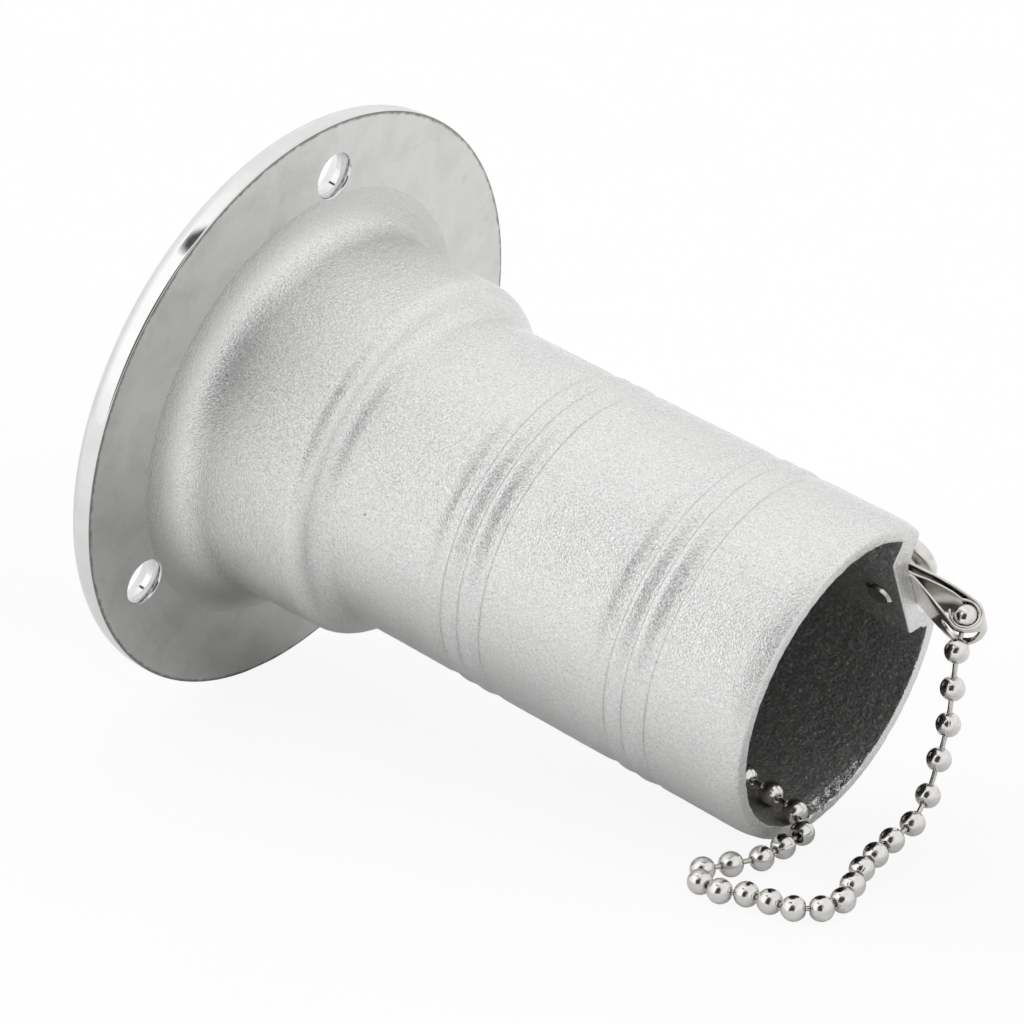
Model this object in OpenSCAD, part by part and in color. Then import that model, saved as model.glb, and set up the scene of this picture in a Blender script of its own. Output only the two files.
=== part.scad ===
// Deck fill cap: a flanged filler neck with a threaded cap held by a ball chain.
// Frame: +Z points up out of the deck, origin at the centre of the flange's
// underside, so the neck hangs down along -Z.

/* [Flange] */
// Diameter of the flange at its flat back
flange_d = 95.6; // [94:0.2:98]
// Height of the straight part of the flange's edge
flange_edge_h = 1.9; // [1.5:0.1:2.2]
// Radius of the polished rounded rim
rim_round = 2.9; // [2.6:0.1:3.1]
// Height of the flange beside the cap
flange_h = 6.6; // [6.4:0.1:6.8]
// Pitch circle of the three fixing holes
fixing_pcd = 77.6; // [76:0.2:79]
// Diameter of a fixing hole
fixing_d = 7.2; // [6.4:0.1:7.6]
// Countersink diameter at the top
fixing_sink_d = 13.2; // [12:0.2:14]
// Direction of the first fixing hole
fixing_turn = 67.3; // [60:0.1:72]

/* [Hub] */
// Hub diameter next to the flange fillet
hub_top_d = 59; // [58.6:0.1:59.6]
// Hub diameter at its lower end
hub_end_d = 58.2; // [57.8:0.1:58.4]
// Fillet between flange and hub
hub_fillet = 6; // [5:0.5:6.5]
// Depth at which the hub starts to step in
hub_len = 21.1; // [20.5:0.1:21.6]
// Steepest angle of the step
step_angle = 66; // [60:1:70]

/* [Neck] */
// Outside diameter of the hose neck
neck_d = 50; // [49.6:0.1:50.2]
// Bore of the neck
bore_d = 44.6; // [44.2:0.1:44.8]
// Length of the neck below the deck
neck_len = 101.1; // [100:0.1:102]
// Depth of the first barb band
band_1 = 44.4; // [43:0.1:46]
// Depth of the second barb band
band_2 = 74.3; // [73:0.1:75]
// Depth of the grooves beside the barb ridges
band_depth = 0.28; // [0.2:0.02:0.4]

/* [Screw recess at the mouth] */
// Direction of the recess
recess_az = 125.5; // [120:0.5:130]
// Distance of the recess floor from the axis
recess_floor = 18.3; // [18:0.1:18.5]
// Distance of the inner boss face from the axis
boss_face = 15.55; // [15.4:0.05:15.8]
// Length of the recess up the neck
recess_len = 12.5; // [12:0.5:14]
// Distance of the screw above the mouth
screw_up = 4.1; // [4:0.1:4.6]

/* [Chain screws] */
// Thread radius of both chain screws
screw_r = 2.25; // [2.2:0.05:2.3]
// Head radius of the neck screw
head_r = 4.6; // [4.2:0.1:4.7]
// Gap left under the head for the clasp
under_head = 3.7; // [3.6:0.1:3.9]

/* [Clasps] */
// Sheet thickness
sheet = 0.45; // [0.4:0.05:0.5]
// Width of the folded strip
strip_w = 7.4; // [6:0.2:8]
// Width of the strip at the tip of the loop
loop_w = 3.4; // [3:0.2:6]
// Distance from the screw to the captured bead
clasp_reach = 13.6; // [13:0.2:14]
// Outer radius of the loop around the bead
clasp_r = 2.75; // [2.7:0.05:2.8]

/* [Ball chain] */
// Bead diameter
bead_d = 3.7; // [3.6:0.02:3.72]
// Wall of a hollow bead
bead_wall = 0.43; // [0.4:0.01:0.45]
// Link pin diameter
pin_d = 0.8; // [0.7:0.02:0.84]
// Stretched distance from bead to bead
pitch = 5.2; // [5.1:0.05:5.25]
// Shortened distance at the seven sliding links
short_pitch = 4.4; // [4.36:0.02:4.44]

/* [Cap] */
// Cap head diameter
cap_d = 55.8; // [55.6:0.05:55.9]
// Underside of the cap head
cap_under = 2.5; // [2.4:0.05:2.6]
// Depth of the cap's skirt
skirt_depth = 12.4; // [12:0.1:13]
// Thread pitch
thread_pitch = 2.5; // [2.4:0.1:2.6]
// Crest radius of the cap's thread
thread_r = 25.55; // [25.5:0.05:25.6]
// Root radius of the cap's thread
root_r = 24.3; // [24.2:0.05:24.35]
// Distance of the two key holes from the centre
key_hole_at = 12.5; // [11:0.5:14]
// Key hole diameter
key_hole_d = 4.6; // [4:0.1:5]

/* [Hidden] */

flange_r = flange_d / 2;
neck_r = neck_d / 2;
bore_r = bore_d / 2;
bead_r = bead_d / 2;
cap_r = cap_d / 2;
tapped_r = screw_r + 0.05;
cast_steel = [0.80, 0.80, 0.79];
polished = [0.86, 0.86, 0.87];
chain_steel = [0.78, 0.77, 0.76];
rubber_black = [0.08, 0.08, 0.08];

// ---- helpers ----
// Points of an arc from one angle to another.
function arc(centre_x, centre_y, radius, from, to, steps) =
  [for (i = [0:steps]) let (angle = from + (to - from) * i / steps)
    [centre_x + radius * cos(angle), centre_y + radius * sin(angle)]];
function unit(v) = v / norm(v);
// Smooth step from 0 to 1.
function ease(t) = 3 * t * t - 2 * t * t * t;
// Point at a direction and radius around the Z axis.
function around(height, az, radius) = [radius * cos(az), radius * sin(az), height];

// Turns +Z onto a direction.
module aim(dir) {
  rotate([0, acos(dir[2] / norm(dir)), atan2(dir[1], dir[0])]) children();
}

// ---- thread ----
thread_z = -13.2;
thread_tip_half = 0.35; // half width of a ridge at its tip

// One-start right-hand ridge of flat-sided segments, from angle 0 to turn.
// start_z is its centre line at angle 0; base_half is its half width at base_r.
module thread_ridge(base_r, tip_r, base_half, start_z, turn) {
  steps = ceil(turn / 10);
  section = [[base_r, -base_half], [tip_r, -thread_tip_half],
    [tip_r, thread_tip_half], [base_r, base_half]];
  points = [for (i = [0:steps], corner = section) let (angle = turn * i / steps)
    around(start_z + thread_pitch * angle / 360 + corner[1], angle, corner[0])];
  sides = [for (i = [0:steps - 1], j = [0:3]) let (k = (j + 1) % 4, first = 4 * i)
    each [[first + j, first + 4 + j, first + 4 + k], [first + j, first + 4 + k, first + k]]];
  last = 4 * steps;
  ends = [[0, 1, 2], [0, 2, 3], [last + 2, last + 1, last], [last + 3, last + 2, last]];
  faces = concat(sides, ends);
  // An outward ridge needs its faces turned over.
  polyhedron(points = points,
    faces = tip_r > base_r ? [for (f = faces) [f[2], f[1], f[0]]] : faces, convexity = 8);
}

// ---- filler body ----
rim_x = flange_r - rim_round; // centre of the rim's rounding
hub_top_r = hub_top_d / 2;
hub_end_r = hub_end_d / 2;
// The step is two equal-angle arcs joined by a short straight.
step_outer_round = 3.0;
step_inner_round = 3.4;
step_rounds = step_outer_round + step_inner_round;
step_straight = (hub_end_r - neck_r - step_rounds * (1 - cos(step_angle))) / sin(step_angle);
step_len = step_rounds * sin(step_angle) + step_straight * cos(step_angle);
mouth_taper = 0.62;
mouth_taper_len = 4.2;
thread_bore_r = 25.9;
// Counterbore around the cap head
seat_r = 28;
seat_z = 0.4;
seat_edge = 0.3; // chamfer at its upper edge
fixing_sink_z = 2.7;
boss_len = recess_len + 6;
boss_slope = 42;

// Barb band: [depth along the band, share of the groove depth]
barb_shape = [[0, 0], [0.7, -0.2], [1.5, -0.8], [2.4, -1.05], [3.35, -1.05],
  [3.55, 0.05], [4.1, 0.35], [4.8, 0.05], [5.7, -0.7], [6.45, -0.85],
  [6.65, 0.1], [7.3, 0.5], [8.2, 0.1], [9.0, -0.7], [9.9, -1], [10.55, -0.95],
  [10.8, -0.07], [11.5, 0]];
function barb(depth) = [for (p = barb_shape) [neck_r + band_depth * p[1], -(depth + p[0])]];

// Upper face of the flange: a shallow dome that meets the rim's rounding
dome_end_angle = 76;
dome_end_r = rim_x + rim_round * cos(dome_end_angle);
dome_end_z = flange_edge_h + rim_round * sin(dome_end_angle);
dome_start_r = seat_r + seat_edge;
function dome(r) =
  flange_h - (flange_h - dome_end_z) * pow((r - seat_r) / (dome_end_r - seat_r), 2);

// [radius, z], down the outside and back up the bore
body_profile = concat(
  [for (i = [0:8]) let (r = dome_start_r + (dome_end_r - dome_start_r) * i / 8) [r, dome(r)]],
  arc(rim_x, flange_edge_h, rim_round, 70, 0, 7),
  [[flange_r, 0.25], [flange_r - 0.25, 0]],
  arc(hub_top_r + hub_fillet, -hub_fillet, hub_fillet, 90, 180, 8),
  arc(hub_end_r - step_outer_round, -hub_len, step_outer_round, 0, -step_angle, 6),
  arc(neck_r + step_inner_round, -(hub_len + step_len), step_inner_round,
    180 - step_angle, 180, 6),
  barb(band_1), barb(band_2),
  [for (i = [0:5]) [neck_r - mouth_taper * pow(i / 5, 2.2),
    -(neck_len - mouth_taper_len * (1 - i / 5))]],
  [[bore_r + 0.1, -neck_len], [bore_r, -neck_len + 0.15]],
  [[bore_r, -23], [bore_r + 0.4, -22.2], [thread_bore_r, -17.5], [thread_bore_r, seat_z]],
  [[seat_r, seat_z], [seat_r, flange_h - seat_edge]]);

// Plan outlines with +X along the recess direction
boss_outline = [[boss_face, -10.2], [18.9, -11.9], [25, -11.9],
  [25, 11.9], [18.9, 11.9], [boss_face, 8.3]];
recess_outline = [[recess_floor, -6.2], [recess_floor, 6], [26.5, 14.4], [26.5, -14]];

module at_recess() { rotate([0, 0, recess_az]) children(); }

// Boss for the chain screw, cast inwards and sloped off at its upper end
module screw_boss() {
  intersection() {
    translate([0, 0, -neck_len]) cylinder(r = bore_r + 0.8, h = boss_len, $fn = 96);
    at_recess() difference() {
      translate([0, 0, -neck_len]) linear_extrude(boss_len) polygon(boss_outline);
      translate([boss_face - 4, -20, -neck_len + recess_len])
        rotate([0, -boss_slope, 0])
          translate([-10, 0, 0]) cube([30, 40, 20]);
    }
  }
}

module fixing_hole() {
  translate([0, 0, -1]) cylinder(d = fixing_d, h = 10, $fn = 64);
  translate([0, 0, fixing_sink_z])
    cylinder(d1 = fixing_d, d2 = fixing_sink_d + 1.2, h = flange_h - fixing_sink_z, $fn = 64);
}

module filler_body() {
  color(cast_steel)
  difference() {
    union() {
      rotate_extrude($fn = 128) polygon(body_profile);
      screw_boss();
      thread_ridge(base_r = thread_bore_r + 0.3, tip_r = 24.7, base_half = 0.975,
        start_z = thread_z + thread_pitch / 2, turn = 790);
    }
    // recess for the chain clasp
    at_recess() translate([0, 0, -neck_len - 1])
      linear_extrude(recess_len + 1) polygon(recess_outline);
    // tapped hole for the chain screw
    at_recess() translate([boss_face - 2, 0, -neck_len + screw_up]) rotate([0, 90, 0])
      cylinder(r = tapped_r, h = 8, $fn = 48);
    for (i = [0:2]) rotate([0, 0, fixing_turn + 120 * i]) translate([fixing_pcd / 2, 0, 0])
      fixing_hole();
  }
}

// ---- chain screws ----
head_side = 0.7; // height of the head up to its dome
head_dome = 2.4;
shank_chamfer = 0.35;

// Pan head screw: origin on the seat, +Z out of the part.
// tip is its length below the seat, gap the height of the head's underside.
module pan_screw(tip, gap, radius) {
  rotate_extrude($fn = 64)
    polygon(concat(
      [[0, -tip], [screw_r - shank_chamfer, -tip], [screw_r, -tip + shank_chamfer],
       [screw_r, gap], [radius - 0.1, gap], [radius, gap + 0.12], [radius, gap + head_side]],
      [for (i = [1:7]) let (angle = i * 90 / 8)
        [radius * cos(angle), gap + head_side + head_dome * sin(angle)]],
      [[0, gap + head_side + head_dome]]));
}

// ---- clasps ----
// Folded strip: origin on the seat at the screw, +X towards the bead,
// +Z along the screw. The loop's centre is at loop_z.
loop_z = -0.5;
lug_end_x = -3.4;
lug_gap = loop_z + clasp_r - sheet; // underside of the upper lug

// Outline of a bent strip: a centre line thickened to both sides.
function segment_dir(line, i) = unit(line[i + 1] - line[i]);
function turn_dir(line, i) =
  unit(segment_dir(line, max(i - 1, 0)) + segment_dir(line, min(i, len(line) - 2)));
function side_of(line, i, offset) =
  let (dir = turn_dir(line, i)) line[i] + offset * [-dir[1], dir[0]];
function strip(line, half) = concat(
  [for (i = [0:len(line) - 1]) side_of(line, i, half)],
  [for (i = [len(line) - 1:-1:0]) side_of(line, i, -half)]);

// Outer layer: lower leaf, tangent to the loop, round the bead and back
loop_line_r = clasp_r - sheet / 2;
leaf_bend = [4.4, 0.05 + sheet / 2];
leaf_span = [clasp_reach, loop_z] - leaf_bend;
leaf_touch = atan2(leaf_span[1], leaf_span[0]) - asin(loop_line_r / norm(leaf_span)) - 90;
outer_line = concat([[lug_end_x, leaf_bend[1]], leaf_bend],
  arc(clasp_reach, loop_z, loop_line_r, leaf_touch, 90, 24),
  [[lug_end_x, lug_gap + sheet / 2]]);
// Inner layer: along the lower leaf, then round the bead as a cup
cup_half = 0.2;
cup_r = clasp_r - sheet - 0.19;
cup_line = concat([[lug_end_x, 0.9], [2.4, 0.9], [6.4, 1.15]],
  arc(clasp_reach, loop_z, cup_r, 128, -28, 16));

// Waste beside the strip where it narrows to the loop; side is -1 or 1
taper_x = 8.2;
loop_tip_x = clasp_reach + 3.2;
function taper_waste(side) = [[taper_x, side * strip_w / 2],
  [11.2, side * (strip_w / 2 - 0.45)], [clasp_reach, side * (loop_w / 2 + 0.5)],
  [loop_tip_x, side * loop_w / 2], [loop_tip_x, side * 6], [taper_x, side * 6]];

module clasp() {
  difference() {
    translate([0, strip_w / 2, 0]) rotate([90, 0, 0]) linear_extrude(strip_w) {
      polygon(strip(outer_line, sheet / 2));
      polygon(strip(cup_line, cup_half));
    }
    // screw hole
    translate([0, 0, -1]) cylinder(r = screw_r + 0.1, h = 6, $fn = 48);
    // rounded lugs
    difference() {
      translate([-8, -5, -1]) cube([8, 10, 6]);
      translate([0, 0, -2]) cylinder(r = strip_w / 2, h = 8, $fn = 64);
    }
    for (side = [-1, 1]) translate([0, 0, -6]) linear_extrude(12) polygon(taper_waste(side));
    // slot for the chain's first link
    translate([clasp_reach - 2.6, -1.1, loop_z - 4]) cube([5, 2.4, 3.4]);
  }
}

module neck_seat() {
  at_recess() translate([recess_floor, 0, -neck_len + screw_up]) rotate([0, 90, 0]) children();
}

// The cap clasp hangs from the boss under the cap, towards the chain's lie.
chain_az = 254.5;
cap_boss_z = -4;
cap_seat_z = cap_boss_z - 0.1 - lug_gap - sheet;

module neck_chain_screw() {
  color(polished) neck_seat()
    pan_screw(tip = recess_floor - boss_face + 0.5, gap = under_head, radius = head_r);
}
module neck_clasp() { color(chain_steel) neck_seat() clasp(); }
module cap_clasp() {
  color(chain_steel) translate([0, 0, cap_seat_z]) rotate([0, 0, chain_az]) clasp();
}
module cap_chain_screw() {
  color(polished) translate([0, 0, cap_seat_z - 0.25]) rotate([180, 0, 0])
    pan_screw(tip = 6.5, gap = 0, radius = 4);
}

// ---- chain path ----
// Beads count from 0 in the neck clasp to cap_bead in the cap clasp.
lip_bead = 22;
run_start = 25;
run_end = 38;
cap_bead = 43;

// The loose loop lies on the bench that the flange rim and the mouth rest on.
lay_az = 250.75;
lip_r = 24.775;
rim_rest_z = 1;
bench_tilt = atan((flange_r - lip_r) / (neck_len + rim_rest_z));
bench_up = around(sin(bench_tilt), lay_az, -cos(bench_tilt));
bench_out = around(-cos(bench_tilt), lay_az, -sin(bench_tilt));
bench_side = [-sin(lay_az), cos(lay_az), 0];
lip_point = around(-neck_len, lay_az, lip_r);
function on_bench(out, side, height) =
  lip_point + out * bench_out + side * bench_side + height * bench_up;

clasp_bead_side = -1.3;
recess_side = [-sin(recess_az), cos(recess_az), 0];
clasp_bead_at = clasp_bead_side * recess_side
  + around(-neck_len + screw_up - clasp_reach, recess_az, recess_floor + loop_z);

// Stations of the loop: [bead number, distance out past the lip, distance
// sideways, height over the bench]
stations = [
  [1, 17.7, -11, 28.9], [2, 17.9, -9.9, 23.6], [3, 18, -8.9, 18.4], [4, 17.6, -7.4, 13.4],
  [5, 17.4, -5.1, 8.6], [6, 17.7, -0.7, 5.9], [7, 17.5, 4.4, 5.1], [9, 17.5, 12.1, 3.5],
  [11, 19.3, 19.6, 2.1], [12, 18.2, 23.3, 1.9], [13, 15.1, 25.6, 1.9], [15, 7.4, 25.8, 1.9],
  [16, 3.9, 27.2, 1.9], [17, 0, 26.4, 1.9], [18, -2, 22.9, 1.9], [20, 2.5, 14.8, 1.9],
  [lip_bead, 3.5, 6, 2.9]];
// [bead number, position]
knots = concat([[0, clasp_bead_at]],
  [for (s = stations) [s[0], on_bench(s[1], s[2], s[3])]]);

// Cubic curve through the knots
function slope(k) =
  let (before = knots[max(k - 1, 0)], after = knots[min(k + 1, len(knots) - 1)])
  (after[1] - before[1]) / (after[0] - before[0]);
function span(i) = max([for (k = [0:len(knots) - 2]) i >= knots[k][0] ? k : 0]);
function loop_at(i) =
  let (k = span(i), width = knots[k + 1][0] - knots[k][0], t = (i - knots[k][0]) / width)
  (1 - ease(t)) * knots[k][1] + ease(t) * knots[k + 1][1]
  + (t * t * t - 2 * t * t + t) * width * slope(k)
  + (t * t * t - t * t) * width * slope(k + 1);

// Inside the bore the chain lies along the lowest line.
lie_r = bore_r - bead_r - 0.05;
run_start_z = -90.3;
// Height of bead i of the straight run; every second link there is a sliding one
function run_z(i) = run_start_z
  + short_pitch * ceil((i - run_start) / 2) + pitch * floor((i - run_start) / 2);

// Smooth lead from the end of the run, t = 0, to the cap clasp, t = 1
lead_bulge = 1.2;
lead_start_z = run_z(run_end);
lead_rise = cap_seat_z + loop_z - lead_start_z;
function lead(t) = around(lead_start_z + lead_rise * t, chain_az,
  lie_r + (clasp_reach - lie_r) * ease(t) + lead_bulge * sin(180 * t) * (1 - t));

function bead_at(i) =
  i <= lip_bead ? loop_at(i)
  : i == 23 ? around(-100.7, 261.2, lie_r)
  : i == 24 ? around(-95.5, 256.9, lie_r)
  : i <= run_end ? around(run_z(i), chain_az, lie_r)
  : lead((i - run_end) / (cap_bead - run_end));

// ---- chain parts ----
hole_r = pin_d / 2 + 0.05;
pin_head_r = pin_d / 2 + 0.07;
pin_head_at = bead_r - bead_wall - pin_head_r - 0.03; // from the bead's centre
link_slack = pitch - short_pitch;
cut = 3; // reaches past the bead's surface

// One hollow bead with a hole towards each neighbour, back to bead i - 1 and
// fwd to i + 1. The wide values open a hole at a swivelling link.
module bead(i, back = true, fwd = true, wide_back = 0, wide_fwd = 0) {
  centre = bead_at(i);
  to_back = back ? bead_at(i - 1) - centre : centre - bead_at(i + 1);
  translate(centre) difference() {
    aim(to_back) rotate(75) rotate_extrude($fn = 48) difference() {
      circle(bead_r, $fn = 96);
      circle(bead_r - bead_wall, $fn = 96);
      translate([-cut, -cut]) square([cut, 2 * cut]);
      if (back) square([hole_r + wide_back, cut]);
    }
    if (fwd) aim(bead_at(i + 1) - centre) cylinder(r = hole_r + wide_fwd, h = cut, $fn = 24);
  }
}

// The headed pin that links bead i to bead i + 1. slack moves the far head
// inwards, as it sits where a link has been pushed together.
module link_pin(i, slack = 0) {
  start = bead_at(i);
  link = bead_at(i + 1) - start;
  far_head = norm(link) - pin_head_at + slack;
  translate(start) aim(link) {
    translate([0, 0, pin_head_at]) sphere(r = pin_head_r, $fn = 24);
    translate([0, 0, pin_head_at]) cylinder(d = pin_d, h = far_head - pin_head_at, $fn = 24);
    translate([0, 0, far_head]) sphere(r = pin_head_r, $fn = 24);
  }
}

module beads(first, last) { color(chain_steel) for (i = [first:last]) bead(i); }
module pins(first, last) { color(chain_steel) for (i = [first:last]) link_pin(i); }

// A strand of the straight run: two beads, the pin between them and the
// sliding pin above. Strand 6 is the lowest.
function strand_first(k) = run_start + 1 + 2 * (6 - k);
module strand_beads(k) { beads(strand_first(k), strand_first(k) + 1); }
module strand_pins(k) {
  color(chain_steel) {
    link_pin(strand_first(k));
    link_pin(strand_first(k) + 1, slack = link_slack);
  }
}

module clasp_bead() { color(chain_steel) bead(0, back = false, wide_fwd = 0.35); }
module hanging_beads() { beads(1, 7); }
module hanging_pins() { pins(0, 6); }
module lying_beads() { beads(8, lip_bead - 1); }
module lying_pins() { pins(7, lip_bead - 1); }
module lip_beads() {
  color(chain_steel) {
    bead(lip_bead, wide_back = 0.7);
    for (i = [lip_bead + 1:run_start]) bead(i);
  }
}
module lip_pins() {
  color(chain_steel) {
    for (i = [lip_bead:run_start - 1]) link_pin(i);
    link_pin(run_start, slack = link_slack);
  }
}
module cap_strand_beads() { beads(run_end, cap_bead - 1); }
module cap_strand_pins() { pins(run_end, cap_bead - 1); }
module cap_clasp_bead() { color(chain_steel) bead(cap_bead, fwd = false); }

// ---- cap ----
cap_crown = 0.35; // rise of the domed top over the flange
collar_r = 25.35; // plain part above the thread
skirt_bore_r = 20.4;
cap_boss_r = 4.2;
key_hole_z = 3.1;

// [radius, z], from the top centre outwards and back along the underside
cap_profile = concat(
  [for (i = [0:8]) let (r = (cap_r - 0.4) * i / 8)
    [r, flange_h + cap_crown - cap_crown * pow(r / cap_r, 2)]],
  [[cap_r, flange_h - 0.4], [cap_r, cap_under + 0.2], [cap_r - 0.2, cap_under],
   [collar_r, cap_under], [collar_r, -1], [root_r, -1.6], [root_r, -skirt_depth + 0.5],
   [root_r - 0.5, -skirt_depth], [skirt_bore_r + 0.4, -skirt_depth],
   [skirt_bore_r, -skirt_depth + 0.4], [skirt_bore_r, 0.6], [skirt_bore_r - 1, 1.6],
   [cap_boss_r + 0.8, 1.6], [cap_boss_r, 0.8], [cap_boss_r, cap_boss_z], [0, cap_boss_z]]);

module fill_cap() {
  color(polished)
  difference() {
    union() {
      rotate_extrude($fn = 128) polygon(cap_profile);
      thread_ridge(base_r = root_r - 0.3, tip_r = thread_r, base_half = 0.97,
        start_z = thread_z + thread_pitch, turn = 820);
    }
    // key holes with a countersunk edge
    for (side = [-1, 1]) translate([side * key_hole_at, 0, key_hole_z]) {
      cylinder(d = key_hole_d, h = 6, $fn = 48);
      translate([0, 0, flange_h - key_hole_z - 0.15])
        cylinder(d1 = key_hole_d, d2 = key_hole_d + 1.6, h = 0.8, $fn = 48);
    }
    // tapped hole for the chain screw
    translate([0, 0, cap_boss_z - 1]) cylinder(r = tapped_r, h = 5.2, $fn = 48);
  }
}

ring_r = 26.45;
ring_cord_r = 1.03;
module cap_o_ring() {
  color(rubber_black) translate([0, 0, (seat_z + cap_under) / 2])
    rotate_extrude($fn = 96) translate([ring_r, 0]) circle(r = ring_cord_r, $fn = 48);
}

filler_body();
neck_chain_screw();
neck_clasp();
clasp_bead();
hanging_beads();
hanging_pins();
lying_beads();
lying_pins();
lip_beads();
lip_pins();
strand_beads(6);  // strand_6_beads
strand_pins(6);  // strand_6_pins
strand_beads(5);  // strand_5_beads
strand_pins(5);  // strand_5_pins
strand_beads(4);  // strand_4_beads
strand_pins(4);  // strand_4_pins
strand_beads(3);  // strand_3_beads
strand_pins(3);  // strand_3_pins
strand_beads(2);  // strand_2_beads
strand_pins(2);  // strand_2_pins
strand_beads(1);  // strand_1_beads
strand_pins(1);  // strand_1_pins
cap_strand_beads();
cap_strand_pins();
cap_clasp_bead();
cap_clasp();
cap_chain_screw();
fill_cap();
cap_o_ring();
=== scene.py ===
# A cast steel filler neck with a round flange, its screw-in cap and the bead chain between them.
# The neck's axis is Z. The flange's underside is at z = 0 and its domed face looks towards +Z;
# the neck runs down to its open mouth at z = -101.1. The whole fitting lies on its side on a pale
# bench, touching it along one line. Sizes are in mm and are turned into metres by MM.
import math
import bpy
import bmesh
import numpy as np
from mathutils import Matrix, Vector, noise


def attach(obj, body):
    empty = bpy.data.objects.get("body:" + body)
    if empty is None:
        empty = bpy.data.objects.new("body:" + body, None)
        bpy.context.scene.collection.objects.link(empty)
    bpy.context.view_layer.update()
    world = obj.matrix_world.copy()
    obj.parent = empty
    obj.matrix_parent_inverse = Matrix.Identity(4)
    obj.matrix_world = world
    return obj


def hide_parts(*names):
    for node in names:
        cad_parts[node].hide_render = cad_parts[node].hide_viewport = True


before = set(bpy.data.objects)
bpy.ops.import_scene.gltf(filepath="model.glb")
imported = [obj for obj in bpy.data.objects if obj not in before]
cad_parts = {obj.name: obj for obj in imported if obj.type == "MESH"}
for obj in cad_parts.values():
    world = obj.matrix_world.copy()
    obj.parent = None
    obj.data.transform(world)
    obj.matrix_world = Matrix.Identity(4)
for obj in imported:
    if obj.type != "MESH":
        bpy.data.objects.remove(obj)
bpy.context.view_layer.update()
MM = 0.001
DEG = math.pi / 180


# ---------------------------------------------------------------- directions
def polar(radius, azimuth, z):
    return np.array([radius * math.cos(azimuth), radius * math.sin(azimuth), z])


def tangent(azimuth):
    return np.array([-math.sin(azimuth), math.cos(azimuth), 0])


def axes_along(direction):
    """Matrix whose columns are x, y and z axes, with z along the direction."""
    z_axis = np.array(direction, float)
    z_axis /= np.linalg.norm(z_axis)
    up = np.array([0, 0, 1], float)
    if abs(z_axis @ up) > 0.95:
        up = np.array([1.0, 0, 0])
    x_axis = np.cross(up, z_axis)
    x_axis /= np.linalg.norm(x_axis)
    return np.stack([x_axis, np.cross(z_axis, x_axis), z_axis], 1)


# ---------------------------------------------------------------- making meshes
def add_mesh(name, coords, faces, smooth=True):
    """Object from coordinates in metres."""
    mesh = bpy.data.meshes.new(name)
    mesh.from_pydata(coords, [], faces)
    if smooth:
        mesh.polygons.foreach_set("use_smooth", [True] * len(mesh.polygons))
    piece = bpy.data.objects.new(name, mesh)
    bpy.context.scene.collection.objects.link(piece)
    return piece


def mesh_object(name, verts, faces, smooth=True):
    """Object from coordinates in mm."""
    piece = add_mesh(name, [tuple(float(c) * MM for c in v) for v in verts], faces, smooth)
    piece.data.validate()
    return piece


def solid(name, verts, faces, smooth=True):
    """Object from coordinates in mm, with its normals turned outwards."""
    piece = mesh_object(name, verts, faces, smooth)
    bm = bmesh.new()
    bm.from_mesh(piece.data)
    bmesh.ops.recalc_face_normals(bm, faces=bm.faces)
    bm.to_mesh(piece.data)
    bm.free()
    return piece


def lathe_faces(rows, closed=False):
    """Faces between rows of vertex numbers; a row on the axis repeats one number."""
    faces = []
    count = len(rows)
    segs = len(rows[0])
    for i in range(count if closed else count - 1):
        row, following = rows[i], rows[(i + 1) % count]
        for s in range(segs):
            t = (s + 1) % segs
            face = []
            for v in (row[s], following[s], following[t], row[t]):
                if not face or (v != face[-1] and v != face[0]):
                    face.append(v)
            if len(face) >= 3:
                faces.append(face)
    return faces


def lathe(name, profile, segs, origin=(0, 0, 0), axes=None, closed=False, wobble=None,
          smooth=True):
    """Turned solid from a profile of (radius, z); a point on the axis becomes one vertex."""
    verts, rows = [], []
    for radius, z in profile:
        if radius < 1e-6:
            rows.append([len(verts)] * segs)
            verts.append((0.0, 0.0, z))
            continue
        rows.append(list(range(len(verts), len(verts) + segs)))
        for s in range(segs):
            angle = 2 * math.pi * s / segs
            out, rise = wobble(angle, radius, z) if wobble else (0.0, 0.0)
            verts.append(((radius + out) * math.cos(angle), (radius + out) * math.sin(angle),
                          z + rise))
    verts = np.array(verts, float)
    if axes is not None:
        verts = verts @ axes.T
    return solid(name, verts + np.array(origin, float), lathe_faces(rows, closed), smooth)


def cylinder(name, radius, start, end, segs):
    """Closed round cutter from start to end."""
    run = np.array(end, float) - np.array(start, float)
    length = np.linalg.norm(run)
    profile = [(0, 0), (radius, 0), (radius, length), (0, length)]
    return lathe(name, profile, segs, start, axes_along(run), smooth=False)


def tube_faces(rings, size, looped=False):
    """Faces along rings of vertices, either looped or with a cap at each end."""
    faces = []
    for i in range(rings if looped else rings - 1):
        here, there = i * size, (i + 1) % rings * size
        for j in range(size):
            k = (j + 1) % size
            faces.append((here + j, there + j, there + k, here + k))
    if not looped:
        faces.append(tuple(range(size)))
        faces.append(tuple((rings - 1) * size + j for j in range(size))[::-1])
    return faces


def extrusion(name, lower, upper):
    """Flat-shaded solid between two matching outlines."""
    n = len(lower)
    faces = [tuple(range(n))[::-1], tuple(range(n, 2 * n))]
    faces += [(i, (i + 1) % n, n + (i + 1) % n, n + i) for i in range(n)]
    return solid(name, lower + upper, faces, smooth=False)


def arc(centre_x, centre_z, radius, start, end, steps):
    """Points along an arc; start and end are in degrees."""
    angles = [(start + (end - start) * i / steps) * DEG for i in range(steps + 1)]
    return [(centre_x + radius * math.cos(a), centre_z + radius * math.sin(a)) for a in angles]


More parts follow.
